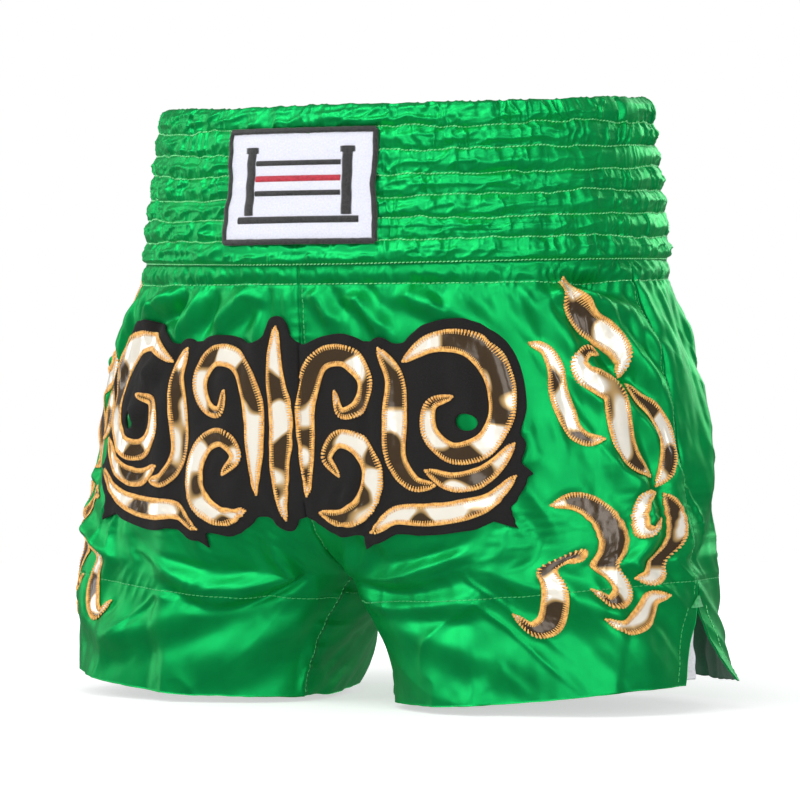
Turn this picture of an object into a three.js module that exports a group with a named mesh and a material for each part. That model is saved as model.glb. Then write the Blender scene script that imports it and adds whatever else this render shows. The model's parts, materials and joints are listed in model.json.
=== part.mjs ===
// Boxing shorts with a wide elastic waistband, side splits and foil ornaments, in millimetres.
// +Z is up, the front faces -Y and +X is the wearer's left. The origin is the centre of the
// waist opening. Every piece lies on one smooth cloth surface, at an offset along its normal.
import * as THREE from "three";

// Waistband.
const BAND_DROP = 91; // height of the waistband at the side
const BAND_TILT = 3; // how much lower the band's seam is in front than at the side
const RIM_TILT = 5.5; // how much lower the rim is in front than at the side
const TUBES = 7; // stitched tubes, each with an elastic inside
const WAIST_HALF_WIDTH = 147;
const WAIST_HALF_DEPTH = 111;
const SEAM_HALF_WIDTH = 159;
const SEAM_HALF_DEPTH = 120;
const STITCH_OFFSET = 1.5; // cloth at a stitch line, from the middle of the band
const TUBE_OFFSET = 4.2; // cloth at the crown of a tube
const SLOT_HALF = 0.8;
const ELASTIC_HALF = 0.5;
const ELASTIC_HEIGHT = 9;
const RING_STEPS = 10; // steps in each quarter of a ring

// Body and legs.
const HIP_GAIN = 52; // how much wider the hem is than the band's seam, each side
const HIP_RATE = 85; // the drop over which most of that width is gained
const HIP_DEPTH_LOSS = 6;
const LEG_START_Z = -195; // where the torso's round section starts to part into legs
const LEG_BLEND = 75;
const SEAM_ANGLE = (80 * Math.PI) / 180; // the side seam lies a little ahead of the side
const FRONT_RISE_START = -215;
const BACK_RISE_START = -195;
const CROTCH_Z = -265;
const CROTCH_Y = -54;
const HEM_Z = -338;
const HEM_SIDE_LIFT = 11; // the hem is higher at the side than in front
const INSEAM_SPREAD = 27; // from the middle plane to the inseam, at the hem
const SPLIT_TOP_Z = -281;
const SPLIT_FRONT = [-9, -11]; // how far the front edge of the split opens, at the hem
const SPLIT_BACK = [2, 33];
const CLOTH = 1.0;
const TURNED_HEM = 58; // height of the doubled cloth above the hem
const EDGE_GAP = 0.16; // half of the gap between two panels
const PANEL_ROWS = 14;
const PANEL_COLUMNS = 12;
const TAPE_DEPTH = 3.1; // from the smooth surface to the outer face of the split tape
const BAR_TACK_HEIGHT = 3;
const BAR_TACK_THICK = 0.8;

// Trims.
const TRIM_LIFT = 1.4; // from the smooth surface to the underside of a piece sewn on it
const FELT = 0.8;
const FOIL = 0.6;
const PIECE_GAP = 0.3;
const FOIL_GAP = 0.5; // between the felt and the foil on it
const FELT_MARGIN = 6;
const TIP_WIDTH = 1.2; // of the narrow ends of a scroll
const FULLNESS = 0.62; // below 1 a scroll keeps its width longer and narrows later
const LABEL_HALF_WIDTH = 46;
const LABEL_TOP_Z = -20;
const LABEL_BOTTOM_Z = -80;
const LABEL_EDGE = 3.2;
const LABEL_EDGE_THICK = 1.4;
const LABEL_CLOTH = 0.8;
const LABEL_LIFT = 5.2; // from the middle of the band to the back of the label

const SATIN = { color: 0x16b455, roughness: 0.35, metalness: 0 };
const COVER = { color: 0x12a54c, roughness: 0.4, metalness: 0 };
const ELASTIC = { color: 0xe9e9e4, roughness: 0.9, metalness: 0 };
const WHITE = { color: 0xdddfeb, roughness: 0.8, metalness: 0 };
const BLACK = { color: 0x201e1e, roughness: 0.9, metalness: 0 };
const THREAD = { color: 0x4ccc72, roughness: 0.6, metalness: 0 };
const GOLD = { color: 0xd9b26a, roughness: 0.15, metalness: 1 };
const SIDES = [[1, "left"], [-1, "right"]];

const mix = (a, b, t) => a + (b - a) * t;
const mix2 = (p, q, t) => [mix(p[0], q[0], t), mix(p[1], q[1], t)];
const clamp = (x) => Math.min(1, Math.max(0, x));
const ease = (x) => clamp(x) ** 2 * (3 - 2 * clamp(x));
const root = new THREE.Group();

// Half width and half depth of the torso at a height. Below the band the cloth flares out.
function torsoSize(z) {
  const up = (z + BAND_DROP) / BAND_DROP;
  if (up > 0) {
    return [mix(SEAM_HALF_WIDTH, WAIST_HALF_WIDTH, up), mix(SEAM_HALF_DEPTH, WAIST_HALF_DEPTH, up)];
  }
  const flare = 1 - Math.exp((z + BAND_DROP) / HIP_RATE);
  return [SEAM_HALF_WIDTH + HIP_GAIN * flare, SEAM_HALF_DEPTH - HIP_DEPTH_LOSS * flare];
}

// How far down the leg a height is, from 0 at the crotch to 1 at the hem.
const legShare = (z) => clamp((CROTCH_Z - z) / (CROTCH_Z - HEM_Z));

// The inner edge of the panels: the centre seam, then the inseam below the crotch.
function innerEdge(z, torsoY, riseStart) {
  if (z < CROTCH_Z) {
    const k = legShare(z);
    return [INSEAM_SPREAD * (1 - (1 - k) ** 1.7), CROTCH_Y - 6 * k];
  }
  const u = clamp((riseStart - z) / (riseStart - CROTCH_Z));
  return [0, mix(torsoY, CROTCH_Y, u ** 3)];
}

// The outer edge of the panels at the side seam. It opens below the top of the split.
function sideEdge(z, opening) {
  const [a, b] = torsoSize(z);
  const open = clamp((SPLIT_TOP_Z - z) / (SPLIT_TOP_Z - HEM_Z)) ** 1.2;
  return [a * Math.sin(SEAM_ANGLE) + opening[0] * open, -b * Math.cos(SEAM_ANGLE) + opening[1] * open];
}

// How round the front and back halves of a section are. Below the band the front is fuller.
function fullness(z) {
  const drop = 1 - Math.exp(Math.min(0, z + BAND_DROP) / 40);
  return [0.485 + 0.12 * drop, 0.62 - 0.1 * drop];
}

// The four control points of the front or back half of a level section, on the wearer's left.
function controls(z, isBack) {
  const [a, b] = torsoSize(z);
  const [front, back] = fullness(z);
  const legs = ease((LEG_START_Z - z) / LEG_BLEND);
  const k = legShare(z);
  const cosA = Math.cos(SEAM_ANGLE);
  const sinA = Math.sin(SEAM_ANGLE);
  if (isBack) {
    const side = sideEdge(z, SPLIT_BACK);
    const torsoFirst = [side[0] + back * a * cosA, side[1] + back * b * sinA];
    const first = mix2(torsoFirst, mix2([206, 84], [204, 86], k), legs);
    const second = mix2([back * a, b], mix2([-8, 150], [38, 160], k), legs);
    return [side, first, second, innerEdge(z, b, BACK_RISE_START)];
  }
  const side = sideEdge(z, SPLIT_FRONT);
  const torsoSecond = [side[0] - front * a * cosA, side[1] - front * b * sinA];
  const first = mix2([front * a, -b], mix2([10, -128], [38, -120], k), legs);
  const second = mix2(torsoSecond, mix2([192, -126], [196, -127], k), legs);
  return [innerEdge(z, -b, FRONT_RISE_START), first, second, side];
}

// A point on the wearer's left half. s runs 0 to 1 over the front and 1 to 2 over the back.
function leftPoint(s, z, isBack) {
  const p = controls(z, isBack);
  const t = isBack ? s - 1 : s;
  const r = 1 - t;
  const w = [r ** 3, 3 * r * r * t, 3 * r * t * t, t ** 3];
  const x = p.reduce((sum, q, i) => sum + w[i] * q[0], 0);
  const y = p.reduce((sum, q, i) => sum + w[i] * q[1], 0);
  return new THREE.Vector3(x, y, z);
}

// A point at an offset from the surface. side is 1 on the wearer's left and -1 on the right.
function cloth(side, s, z, offset = 0, isBack = s > 1) {
  const step = 0.004;
  const low = isBack ? 1 : -1;
  const high = isBack ? 2 : 1.1;
  const ahead = leftPoint(Math.min(high, s + step), z, isBack);
  const across = ahead.sub(leftPoint(Math.max(low, s - step), z, isBack));
  const up = leftPoint(s, z + 1, isBack).sub(leftPoint(s, z - 1, isBack));
  const p = leftPoint(s, z, isBack).addScaledVector(across.cross(up).normalize(), offset);
  p.x *= side;
  return p;
}

// A point given by its distance round the front from the centre seam, positive to the left.
function frontPoint(u, z, offset) {
  const steps = 40;
  let length = 0;
  let last = leftPoint(0, z, false);
  for (let i = 1; i <= steps * 1.1; i++) {
    const next = leftPoint(i / steps, z, false);
    const piece = next.distanceTo(last);
    if (length + piece >= Math.abs(u)) {
      return cloth(Math.sign(u) || 1, (i - 1 + (Math.abs(u) - length) / piece) / steps, z, offset);
    }
    length += piece;
    last = next;
  }
  return cloth(Math.sign(u) || 1, 1, z, offset);
}

// Adds a closed mesh. Its faces are turned round if they point inwards.
function addMesh(name, points, triangles, look) {
  let volume = 0;
  for (let i = 0; i < triangles.length; i += 3) {
    const [a, b, c] = triangles.slice(i, i + 3).map((k) => points[k]);
    volume += a.dot(b.clone().cross(c));
  }
  if (volume < 0) triangles.reverse();
  const geometry = new THREE.BufferGeometry();
  const numbers = points.flatMap((p) => [p.x, p.y, p.z]);
  geometry.setAttribute("position", new THREE.Float32BufferAttribute(numbers, 3));
  geometry.setIndex(triangles);
  geometry.computeVertexNormals();
  const mesh = new THREE.Mesh(geometry, new THREE.MeshStandardMaterial(look));
  mesh.name = name;
  root.add(mesh);
}

// A closed slab between an outer and an inner grid of points.
function addSlab(name, columns, rows, outer, inner, look) {
  const points = [];
  for (const face of [outer, inner]) {
    for (let i = 0; i <= columns; i++) {
      for (let j = 0; j <= rows; j++) points.push(face(i / columns, j / rows));
    }
  }
  const at = (face, i, j) => (face * (columns + 1) + i) * (rows + 1) + j;
  const triangles = [];
  const quad = (a, b, c, d) => triangles.push(a, b, c, a, c, d);
  for (let i = 0; i < columns; i++) {
    for (let j = 0; j < rows; j++) {
      quad(at(0, i, j), at(0, i + 1, j), at(0, i + 1, j + 1), at(0, i, j + 1));
      quad(at(1, i, j), at(1, i, j + 1), at(1, i + 1, j + 1), at(1, i + 1, j));
    }
    quad(at(0, i, 0), at(1, i, 0), at(1, i + 1, 0), at(0, i + 1, 0));
    quad(at(0, i, rows), at(0, i + 1, rows), at(1, i + 1, rows), at(1, i, rows));
  }
  for (let j = 0; j < rows; j++) {
    quad(at(0, 0, j), at(0, 0, j + 1), at(1, 0, j + 1), at(1, 0, j));
    quad(at(0, columns, j), at(1, columns, j), at(1, columns, j + 1), at(0, columns, j + 1));
  }
  addMesh(name, points, triangles, look);
}

// A closed loop of sections, such as a ring. section(i) gives the points of section i.
function addLoop(name, count, section, look) {
  const sections = Array.from({ length: count }, (_, i) => section(i));
  const size = sections[0].length;
  const triangles = [];
  for (let i = 0; i < count; i++) {
    for (let j = 0; j < size; j++) {
      const a = i * size + j;
      const b = ((i + 1) % count) * size + j;
      const c = ((i + 1) % count) * size + ((j + 1) % size);
      const d = i * size + ((j + 1) % size);
      triangles.push(a, b, c, a, c, d);
    }
  }
  addMesh(name, sections.flat(), triangles, look);
}

// Heights of the rim and of the band's seam, at a quarter position 0 to 2 from front to back.
const frontness = (s) => Math.cos((Math.PI * s) / 2);
const rimZ = (s) => -RIM_TILT * frontness(s);
const bandSeamZ = (s) => -BAND_DROP - BAND_TILT * frontness(s);
const bandZ = (s, t) => mix(rimZ(s), bandSeamZ(s), t);

// Step i of a ring that starts at the centre front and turns to the wearer's left.
function ringPlace(i) {
  const s = i / RING_STEPS;
  return s <= 2 ? [1, s] : [-1, 4 - s];
}

// A ring round the waist. profile lists points as share of the band's height and offset.
function addRing(name, profile, look) {
  const section = (i) => {
    const [side, s] = ringPlace(i);
    return profile.map(([t, offset]) => cloth(side, s, bandZ(s, t), offset));
  };
  addLoop(name, RING_STEPS * 4, section, look);
}

// The cover is one strip folded over the rim, with a slot for the elastics open below.
function addWaistbandCover() {
  const scallops = [];
  for (let i = 2 * TUBES; i >= 0; i--) {
    scallops.push([i / (2 * TUBES), i % 2 ? TUBE_OFFSET : STITCH_OFFSET]);
  }
  const inside = scallops.map(([t, offset]) => [t, -offset]).reverse();
  const heights = [1, 0.94, 0.02];
  const back = heights.map((t) => [t, -SLOT_HALF]);
  const slot = [...back, ...heights.reverse().map((t) => [t, SLOT_HALF])];
  addRing("waistband_cover", [...scallops, ...inside, ...slot], COVER);
}

function addElastics() {
  const tall = ELASTIC_HEIGHT / BAND_DROP / 2;
  for (let i = 0; i < TUBES; i++) {
    const middle = Math.min((i + 0.5) / TUBES, 0.955 - tall);
    const low = middle + tall;
    const high = middle - tall;
    const outside = [[high, ELASTIC_HALF], [low, ELASTIC_HALF]];
    const inside = [[low, -ELASTIC_HALF], [high, -ELASTIC_HALF]];
    addRing(`waist_elastic_${i + 1}`, [...outside, ...inside], ELASTIC);
  }
}

// The hem's height. It rises from the front of each leg to the side and the back.
function hemZ(s) {
  return HEM_Z + HEM_SIDE_LIFT * ease(s < 1 ? (s - 0.35) / 0.65 : (2.3 - s) / 0.9);
}

function addPanel(name, side, isBack) {
  const start = isBack ? 1 : 0;
  const place = (i, j, offset) => {
    const z0 = bandSeamZ(start + i) - 2 * EDGE_GAP;
    const s = start + clamp(i * 0.998 + 0.001);
    const z = mix(z0, hemZ(s), 1 - (1 - j) ** 1.15);
    return cloth(side, s, z, offset, isBack);
  };
  const depth = (i, j) => {
    const s = start + i;
    const z = mix(bandSeamZ(s), hemZ(s), 1 - (1 - j) ** 1.15);
    return z < hemZ(s) + TURNED_HEM ? -2 * CLOTH : -CLOTH;
  };
  const outer = (i, j) => place(i, j, 0);
  const inner = (i, j) => place(i, j, depth(i, j));
  addSlab(name, PANEL_COLUMNS, PANEL_ROWS, outer, inner, SATIN);
}

// White tape inside the front edge of a split. It shows past the edge.
function addSplitTape(name, side) {
  const place = (i, j, offset) => {
    const z = mix(SPLIT_TOP_Z - 8, HEM_Z + HEM_SIDE_LIFT, j);
    return cloth(side, mix(0.955, 1 + 0.03 * j, i), z, offset, false);
  };
  const outer = (i, j) => place(i, j, -TAPE_DEPTH);
  const inner = (i, j) => place(i, j, -TAPE_DEPTH - CLOTH);
  addSlab(name, 2, 4, outer, inner, WHITE);
}

// Thread bar at the top of a split, across the side seam.
function addBarTack(name, side) {
  const place = (i, j, offset) => {
    return cloth(side, mix(0.985, 1, i), SPLIT_TOP_Z + 2 - BAR_TACK_HEIGHT * j, offset, false);
  };
  const outer = (i, j) => place(i, j, PIECE_GAP + BAR_TACK_THICK);
  const inner = (i, j) => place(i, j, PIECE_GAP);
  addSlab(name, 1, 1, outer, inner, THREAD);
}

function addLabel() {
  const place = (i, j, offset) => {
    const u = mix(-LABEL_HALF_WIDTH, LABEL_HALF_WIDTH, i);
    return frontPoint(u, mix(LABEL_TOP_Z, LABEL_BOTTOM_Z, j), offset);
  };
  const outer = (i, j) => place(i, j, LABEL_LIFT + LABEL_CLOTH);
  const inner = (i, j) => place(i, j, LABEL_LIFT);
  addSlab("label_ground", 8, 3, outer, inner, WHITE);
  addLoop("label_edge", 28, labelEdgeSection, BLACK);
}

// A section of the label's edge, going round from the top left corner.
function labelEdgeSection(index) {
  const stations = [10, 4, 10, 4];
  const corners = [[-1, 0], [1, 0], [1, 1], [-1, 1]];
  let side = 0;
  let i = index;
  while (i >= stations[side]) i -= stations[side++];
  const [cu, cv] = mix2(corners[side], corners[(side + 1) % 4], i / stations[side]);
  const ring = (grow, offset) => {
    const u = cu * (LABEL_HALF_WIDTH + grow);
    const z = mix(LABEL_TOP_Z + grow, LABEL_BOTTOM_Z - grow, cv);
    return frontPoint(u, z, offset);
  };
  const near = PIECE_GAP;
  const far = PIECE_GAP + LABEL_EDGE;
  const top = LABEL_LIFT + LABEL_EDGE_THICK;
  return [ring(near, LABEL_LIFT), ring(near, top), ring(far, top), ring(far, LABEL_LIFT)];
}

// A scroll is a curved stroke, widest at one place along it and narrow at its ends. points are
// [u, z] along its middle, width is its greatest width and peak is where along it that comes.
// u is the distance round the front from the middle of the ornament.
const FRONT_MIDDLE = -14;
const FRONT_FLAME = {
  points: [
    [0, -129], [-2, -150], [1, -178], [-1, -206], [0, -235],
  ],
  width: 15,
  peak: 0.5,
};
const FRONT_HALF = [
  {
    points: [
      [17, -222], [17, -196], [18, -168], [28, -147], [45, -145], [56, -158],
      [52, -173], [41, -176], [37, -165],
    ],
    width: 12.5,
    peak: 0.36,
  },
  {
    points: [
      [25, -232], [41, -235], [56, -226], [60, -209], [52, -194], [38, -191],
      [30, -201], [38, -211],
    ],
    width: 12.5,
    peak: 0.36,
  },
  {
    points: [
      [65, -141], [74, -157], [74, -180], [75, -202], [86, -215], [97, -216],
    ],
    width: 14,
    peak: 0.45,
  },
  {
    points: [
      [80, -147], [97, -137], [117, -138], [132, -153], [136, -175], [127, -193],
      [109, -198], [95, -187], [96, -171], [109, -167],
    ],
    width: 14.5,
    peak: 0.34,
  },
  {
    points: [
      [93, -208], [108, -214], [122, -212], [134, -204], [143, -193],
    ],
    width: 10.5,
    peak: 0.45,
  },
  {
    points: [
      [60, -242], [74, -233], [94, -232], [112, -230], [130, -224], [144, -211],
    ],
    width: 11.5,
    peak: 0.42,
  },
];

// u is the distance round the front from the centre seam.
const SIDE_FLAMES = [
  {
    points: [
      [156, -101], [160, -114], [169, -125], [181, -132], [190, -139], [194, -147],
      [191, -154],
    ],
    width: 11.5,
    peak: 0.5,
  },
  {
    points: [
      [137, -137], [145, -140], [151, -149], [153, -162], [157, -174], [162, -185],
      [170, -190], [179, -190],
    ],
    width: 8.4,
    peak: 0.55,
  },
  {
    points: [
      [177, -142], [170, -141], [165, -147], [168, -154], [177, -159], [185, -164],
      [188, -174], [190, -184], [192, -193], [198, -203], [208, -210],
    ],
    width: 13,
    peak: 0.6,
  },
  {
    points: [
      [197, -160], [202, -166], [211, -173], [219, -184], [222, -195], [220, -207],
      [214, -215],
    ],
    width: 10,
    peak: 0.66,
  },
  {
    points: [
      [211, -220], [204, -223], [201, -231], [205, -240], [212, -241], [215, -235],
    ],
    width: 6,
    peak: 0.35,
  },
  {
    points: [
      [219, -221], [226, -231], [231, -242], [233, -252], [231, -261], [224, -266],
      [217, -266],
    ],
    width: 12,
    peak: 0.45,
  },
  {
    points: [
      [151, -226], [163, -224], [175, -229], [186, -240], [196, -252], [205, -263],
      [204, -274], [195, -279], [188, -273],
    ],
    width: 12,
    peak: 0.42,
  },
  {
    points: [
      [183, -256], [175, -254], [170, -260], [169, -270], [163, -282], [154, -292],
      [145, -294], [139, -287],
    ],
    width: 10,
    peak: 0.45,
  },
  {
    points: [
      [231, -276], [222, -277], [214, -284], [205, -290], [195, -293], [187, -289],
    ],
    width: 7.6,
    peak: 0.5,
  },
];

// The whole front ornament: the middle flame and six scrolls mirrored to each side of it.
function frontScrolls() {
  const moved = (one, side) => one.points.map(([u, z]) => [FRONT_MIDDLE + side * u, z]);
  const pieces = [{ ...FRONT_FLAME, name: "front_foil_centre", points: moved(FRONT_FLAME, 1) }];
  FRONT_HALF.forEach((one, i) => {
    for (const [side, word] of SIDES) {
      pieces.push({ ...one, name: `front_foil_${word}_${i + 1}`, points: moved(one, side) });
    }
  });
  return pieces;
}

// The width of a scroll at a share t of its length.
function scrollWidth(one, t) {
  const rise = t < one.peak ? t / one.peak : (1 - t) / (1 - one.peak);
  return TIP_WIDTH + (one.width - TIP_WIDTH) * Math.sin((Math.PI / 2) * clamp(rise)) ** FULLNESS;
}

function scrollCurve(one) {
  const points = one.points.map(([u, z]) => new THREE.Vector3(u, z, 0));
  return new THREE.CatmullRomCurve3(points, false, "centripetal");
}

// The flames on the wearer's right lie further round, clear of the felt.
function rightFlame(one) {
  return { ...one, points: one.points.map(([u, z]) => [147 + 0.8 * (u - 125), z]) };
}

// A foil piece, one face wide, at a lift above the cloth.
function addFoil(name, one, lift, mirror = 1) {
  const curve = scrollCurve(one);
  const place = (i, j, offset) => {
    const p = curve.getPoint(i);
    const direction = curve.getTangent(i);
    const shift = (j - 0.5) * scrollWidth(one, i);
    return frontPoint(mirror * (p.x - direction.y * shift), p.y + direction.x * shift, offset);
  };
  const steps = Math.max(8, 2 * one.points.length + 2);
  const outer = (i, j) => place(i, j, lift + FOIL);
  const inner = (i, j) => place(i, j, lift);
  addSlab(name, steps, 1, outer, inner, GOLD);
}

// The felt behind the front foil: its top and bottom edges keep a margin round the scrolls.
function addFelt() {
  const discs = [];
  for (const one of frontScrolls()) {
    const curve = scrollCurve(one);
    for (let i = 0; i <= 24; i++) {
      const p = curve.getPoint(i / 24);
      discs.push([p.x, p.y, scrollWidth(one, i / 24) / 2 + FELT_MARGIN]);
    }
  }
  const left = Math.min(...discs.map(([u, , r]) => u - r)) + 0.5;
  const right = Math.max(...discs.map(([u, , r]) => u + r)) - 0.5;
  const edge = (u, sign) => {
    const near = discs.filter(([du, , r]) => Math.abs(u - du) < r);
    return sign * Math.max(...near.map(([du, z, r]) => sign * z + Math.sqrt(r * r - (u - du) ** 2)));
  };
  const place = (i, j, offset) => {
    const u = mix(left, right, i);
    return frontPoint(u, mix(edge(u, -1), edge(u, 1), j), offset);
  };
  const outer = (i, j) => place(i, j, TRIM_LIFT + FELT);
  const inner = (i, j) => place(i, j, TRIM_LIFT);
  addSlab("front_felt_backing", 44, 9, outer, inner, BLACK);
}

addWaistbandCover();
addElastics();
for (const [side, word] of SIDES) {
  addPanel(`front_panel_${word}`, side, false);
  addPanel(`back_panel_${word}`, side, true);
  addSplitTape(`split_tape_${word}`, side);
  addBarTack(`split_bar_tack_${word}`, side);
  SIDE_FLAMES.forEach((one, i) => {
    addFoil(`side_foil_${word}_${i + 1}`, side > 0 ? one : rightFlame(one), TRIM_LIFT, side);
  });
}
addLabel();
addFelt();
for (const one of frontScrolls()) addFoil(one.name, one, TRIM_LIFT + FELT + FOIL_GAP);

export default root;
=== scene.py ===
import json
import math

import bpy
import numpy as np
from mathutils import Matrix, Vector

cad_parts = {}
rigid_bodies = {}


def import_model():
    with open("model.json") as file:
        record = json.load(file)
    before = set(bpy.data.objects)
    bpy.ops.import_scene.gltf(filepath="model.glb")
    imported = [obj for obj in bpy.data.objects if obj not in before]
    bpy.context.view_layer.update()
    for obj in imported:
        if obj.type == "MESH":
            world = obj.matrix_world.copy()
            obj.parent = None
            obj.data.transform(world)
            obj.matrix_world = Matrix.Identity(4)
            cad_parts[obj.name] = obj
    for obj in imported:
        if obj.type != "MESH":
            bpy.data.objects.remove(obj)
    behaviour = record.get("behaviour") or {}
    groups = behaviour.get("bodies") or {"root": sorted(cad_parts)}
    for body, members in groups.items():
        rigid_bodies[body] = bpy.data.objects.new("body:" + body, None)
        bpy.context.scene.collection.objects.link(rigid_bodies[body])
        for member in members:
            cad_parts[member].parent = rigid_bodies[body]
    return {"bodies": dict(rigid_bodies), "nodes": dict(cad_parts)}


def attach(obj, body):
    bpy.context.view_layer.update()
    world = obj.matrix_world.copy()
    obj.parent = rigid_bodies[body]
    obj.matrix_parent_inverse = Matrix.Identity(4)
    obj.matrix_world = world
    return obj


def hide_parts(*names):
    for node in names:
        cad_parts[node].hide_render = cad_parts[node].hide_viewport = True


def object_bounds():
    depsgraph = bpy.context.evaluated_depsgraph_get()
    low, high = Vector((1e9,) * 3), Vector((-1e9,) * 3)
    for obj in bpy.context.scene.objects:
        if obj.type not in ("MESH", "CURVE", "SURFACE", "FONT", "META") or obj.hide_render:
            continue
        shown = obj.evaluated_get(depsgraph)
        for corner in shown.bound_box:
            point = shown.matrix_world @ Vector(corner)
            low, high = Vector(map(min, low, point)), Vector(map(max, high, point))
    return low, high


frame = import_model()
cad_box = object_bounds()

# Satin boxing shorts. Sizes are in millimetres until a mesh is made. Every piece lies on one
# cloth surface, given by a place s (0 centre front, 1 side seam, 2 centre back) and a height.
MM = 0.001
BODY = list(frame["bodies"])[0]
SIDES = ((1, "left"), (-1, "right"))
UP = np.array([0, 0, 1])

# The floor lies just below the frame's lowest point.
FLOOR_Z = cad_box[0][2] - 0.006
FLOOR_RADIUS = 1.7
FLOOR_CORNERS = 72
WORLD_LIGHT = 0.18
CAMERA_TURN = math.radians(30)
CAMERA_DISTANCE = 2.6
CAMERA_Z = -0.145

# The waistband and the cloth's cut, as in the solid model.
BAND_DROP = 91.0
BAND_TILT = 3.0
RIM_TILT = 5.5
TUBES = 7
WAIST_HALF = (147.0, 111.0)
SEAM_HALF = (159.0, 120.0)
HIP_GAIN = 52.0
HIP_RATE = 85.0
HIP_DEPTH_LOSS = 6.0
LEG_START_Z = -195.0
LEG_BLEND = 75.0
FRONT_HANDLE = (0.485, 0.12)
BACK_HANDLE = (0.62, -0.1)
SEAM_ANGLE = math.radians(80)
FRONT_RISE_START = -215.0
BACK_RISE_START = -195.0
CROTCH_Z = -265.0
CROTCH_Y = -54.0
HEM_SIDE_LIFT = 11.0
INSEAM_SPREAD = 27.0
SPLIT_TOP_Z = -281.0
SPLIT_FRONT = (-9.0, -11.0)
SPLIT_BACK = (2.0, 33.0)
HEM_LEVEL = -338.0
TURNED_HEM = 58.0
TOPSTITCH_DROP = 10.5
ROW_SPAN = 245.0

# Control points of a leg's level section, at the crotch and at the hem.
LEG_CONTROLS = {
    "front_inner": ((10, -128), (38, -120)),
    "front_outer": ((192, -126), (196, -127)),
    "back_outer": ((206, 84), (204, 86)),
    "back_inner": ((-8, 150), (38, 160)),
}

# Cloth and thread.
SATIN_THICK = 0.45
TUBE_CROWN = 4.3
TUBE_PINCH = 1.9
FELT_LIFT = 0.9
FELT_THICK = 1.1
FELT_MARGIN = 6.2
FELT_PITCH = 1.25
FOIL_THICK = 0.35
FOIL_STEP = 0.8
PUFF = 0.05
STITCH_WIDTH = 2.4
STITCH_PITCH = 1.3
STITCH_SHARE = 0.82
STITCH_TOP = -107
TAPE_REACH = 12.5
TAPE_WIDTH = 18
LABEL_HALF = 46.0
LABEL_TOP = -20.0
LABEL_BOTTOM = -80.0
LABEL_MIDDLE = (LABEL_TOP + LABEL_BOTTOM) / 2
LABEL_EDGE = 3.3
LABEL_LIFT = 5.4
FILL_PITCH = 0.55
PANEL_ROUND = 250.0


# ---- small maths

def clamp(x):
    return np.clip(x, 0.0, 1.0)


def ease(x):
    t = clamp(x)
    return t * t * (3 - 2 * t)


def mix(a, b, t):
    return a + (b - a) * t


def bump(x):
    """A smooth rise and fall, 1 at 0 and near 0 beyond 2."""
    return np.exp(-np.asarray(x) ** 2)


def unit(v):
    return v / np.maximum(np.linalg.norm(v, axis=-1, keepdims=True), 1e-9)


def smoother(x):
    """A step from 0 to 1 with smooth curvature."""
    return x * x * x * (x * (x * 6 - 15) + 10)


def noise(x, y, seed, period=0):
    """Smooth value noise from -1 to 1. period wraps x after that many cells."""
    table = np.random.default_rng(seed).uniform(-1, 1, (256, 256))
    x, y = np.broadcast_arrays(np.asarray(x, float), np.asarray(y, float))
    i, j = np.floor(x).astype(int), np.floor(y).astype(int)
    fx, fy = smoother(x - i), smoother(y - j)
    wrap = period or 256
    i0, i1 = np.mod(i, wrap) % 256, np.mod(i + 1, wrap) % 256
    j0, j1 = j % 256, (j + 1) % 256
    low = mix(table[i0, j0], table[i1, j0], fx)
    high = mix(table[i0, j1], table[i1, j1], fx)
    return mix(low, high, fy)


def creased(n, level=0.0, power=1.6):
    """Turns noise into ridges with narrow crests, counted from a level."""
    return (1 - np.abs(n)) ** power - level


def sample(grid, i, j):
    """Bilinear value of a grid at fractional places."""
    i = np.clip(i, 0, grid.shape[0] - 1.0001)
    j = np.clip(j, 0, grid.shape[1] - 1.0001)
    a, b = i.astype(int), j.astype(int)
    fi, fj = (i - a)[..., None], (j - b)[..., None]
    low = mix(grid[a, b], grid[a + 1, b], fi)
    high = mix(grid[a, b + 1], grid[a + 1, b + 1], fi)
    return mix(low, high, fj)


def path_length(points):
    """The length of a path up to each of its points."""
    return np.concatenate([[0], np.cumsum(np.linalg.norm(np.diff(points, axis=0), axis=1))])


def mirrored(points, side):
    return points * np.array([side, 1, 1])


# ---- the cloth surface

def torso_size(z):
    up = (z + BAND_DROP) / BAND_DROP
    flare = 1 - np.exp(np.minimum(0, z + BAND_DROP) / HIP_RATE)
    a = np.where(up > 0, mix(SEAM_HALF[0], WAIST_HALF[0], up), SEAM_HALF[0] + HIP_GAIN * flare)
    b = np.where(up > 0, mix(SEAM_HALF[1], WAIST_HALF[1], up), SEAM_HALF[1] - HIP_DEPTH_LOSS * flare)
    return a, b


def leg_share(z):
    return clamp((CROTCH_Z - z) / (CROTCH_Z - HEM_LEVEL))


def inner_edge(z, torso_y, rise_start):
    k = leg_share(z)
    u = clamp((rise_start - z) / (rise_start - CROTCH_Z))
    below = z < CROTCH_Z
    x = np.where(below, INSEAM_SPREAD * (1 - (1 - k) ** 1.7), 0)
    y = np.where(below, CROTCH_Y - 6 * k, mix(torso_y, CROTCH_Y, u ** 3))
    return x, y


def side_edge(z, opening):
    a, b = torso_size(z)
    gape = clamp((SPLIT_TOP_Z - z) / (SPLIT_TOP_Z - HEM_LEVEL)) ** 1.2
    return a * math.sin(SEAM_ANGLE) + opening[0] * gape, -b * math.cos(SEAM_ANGLE) + opening[1] * gape


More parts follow.
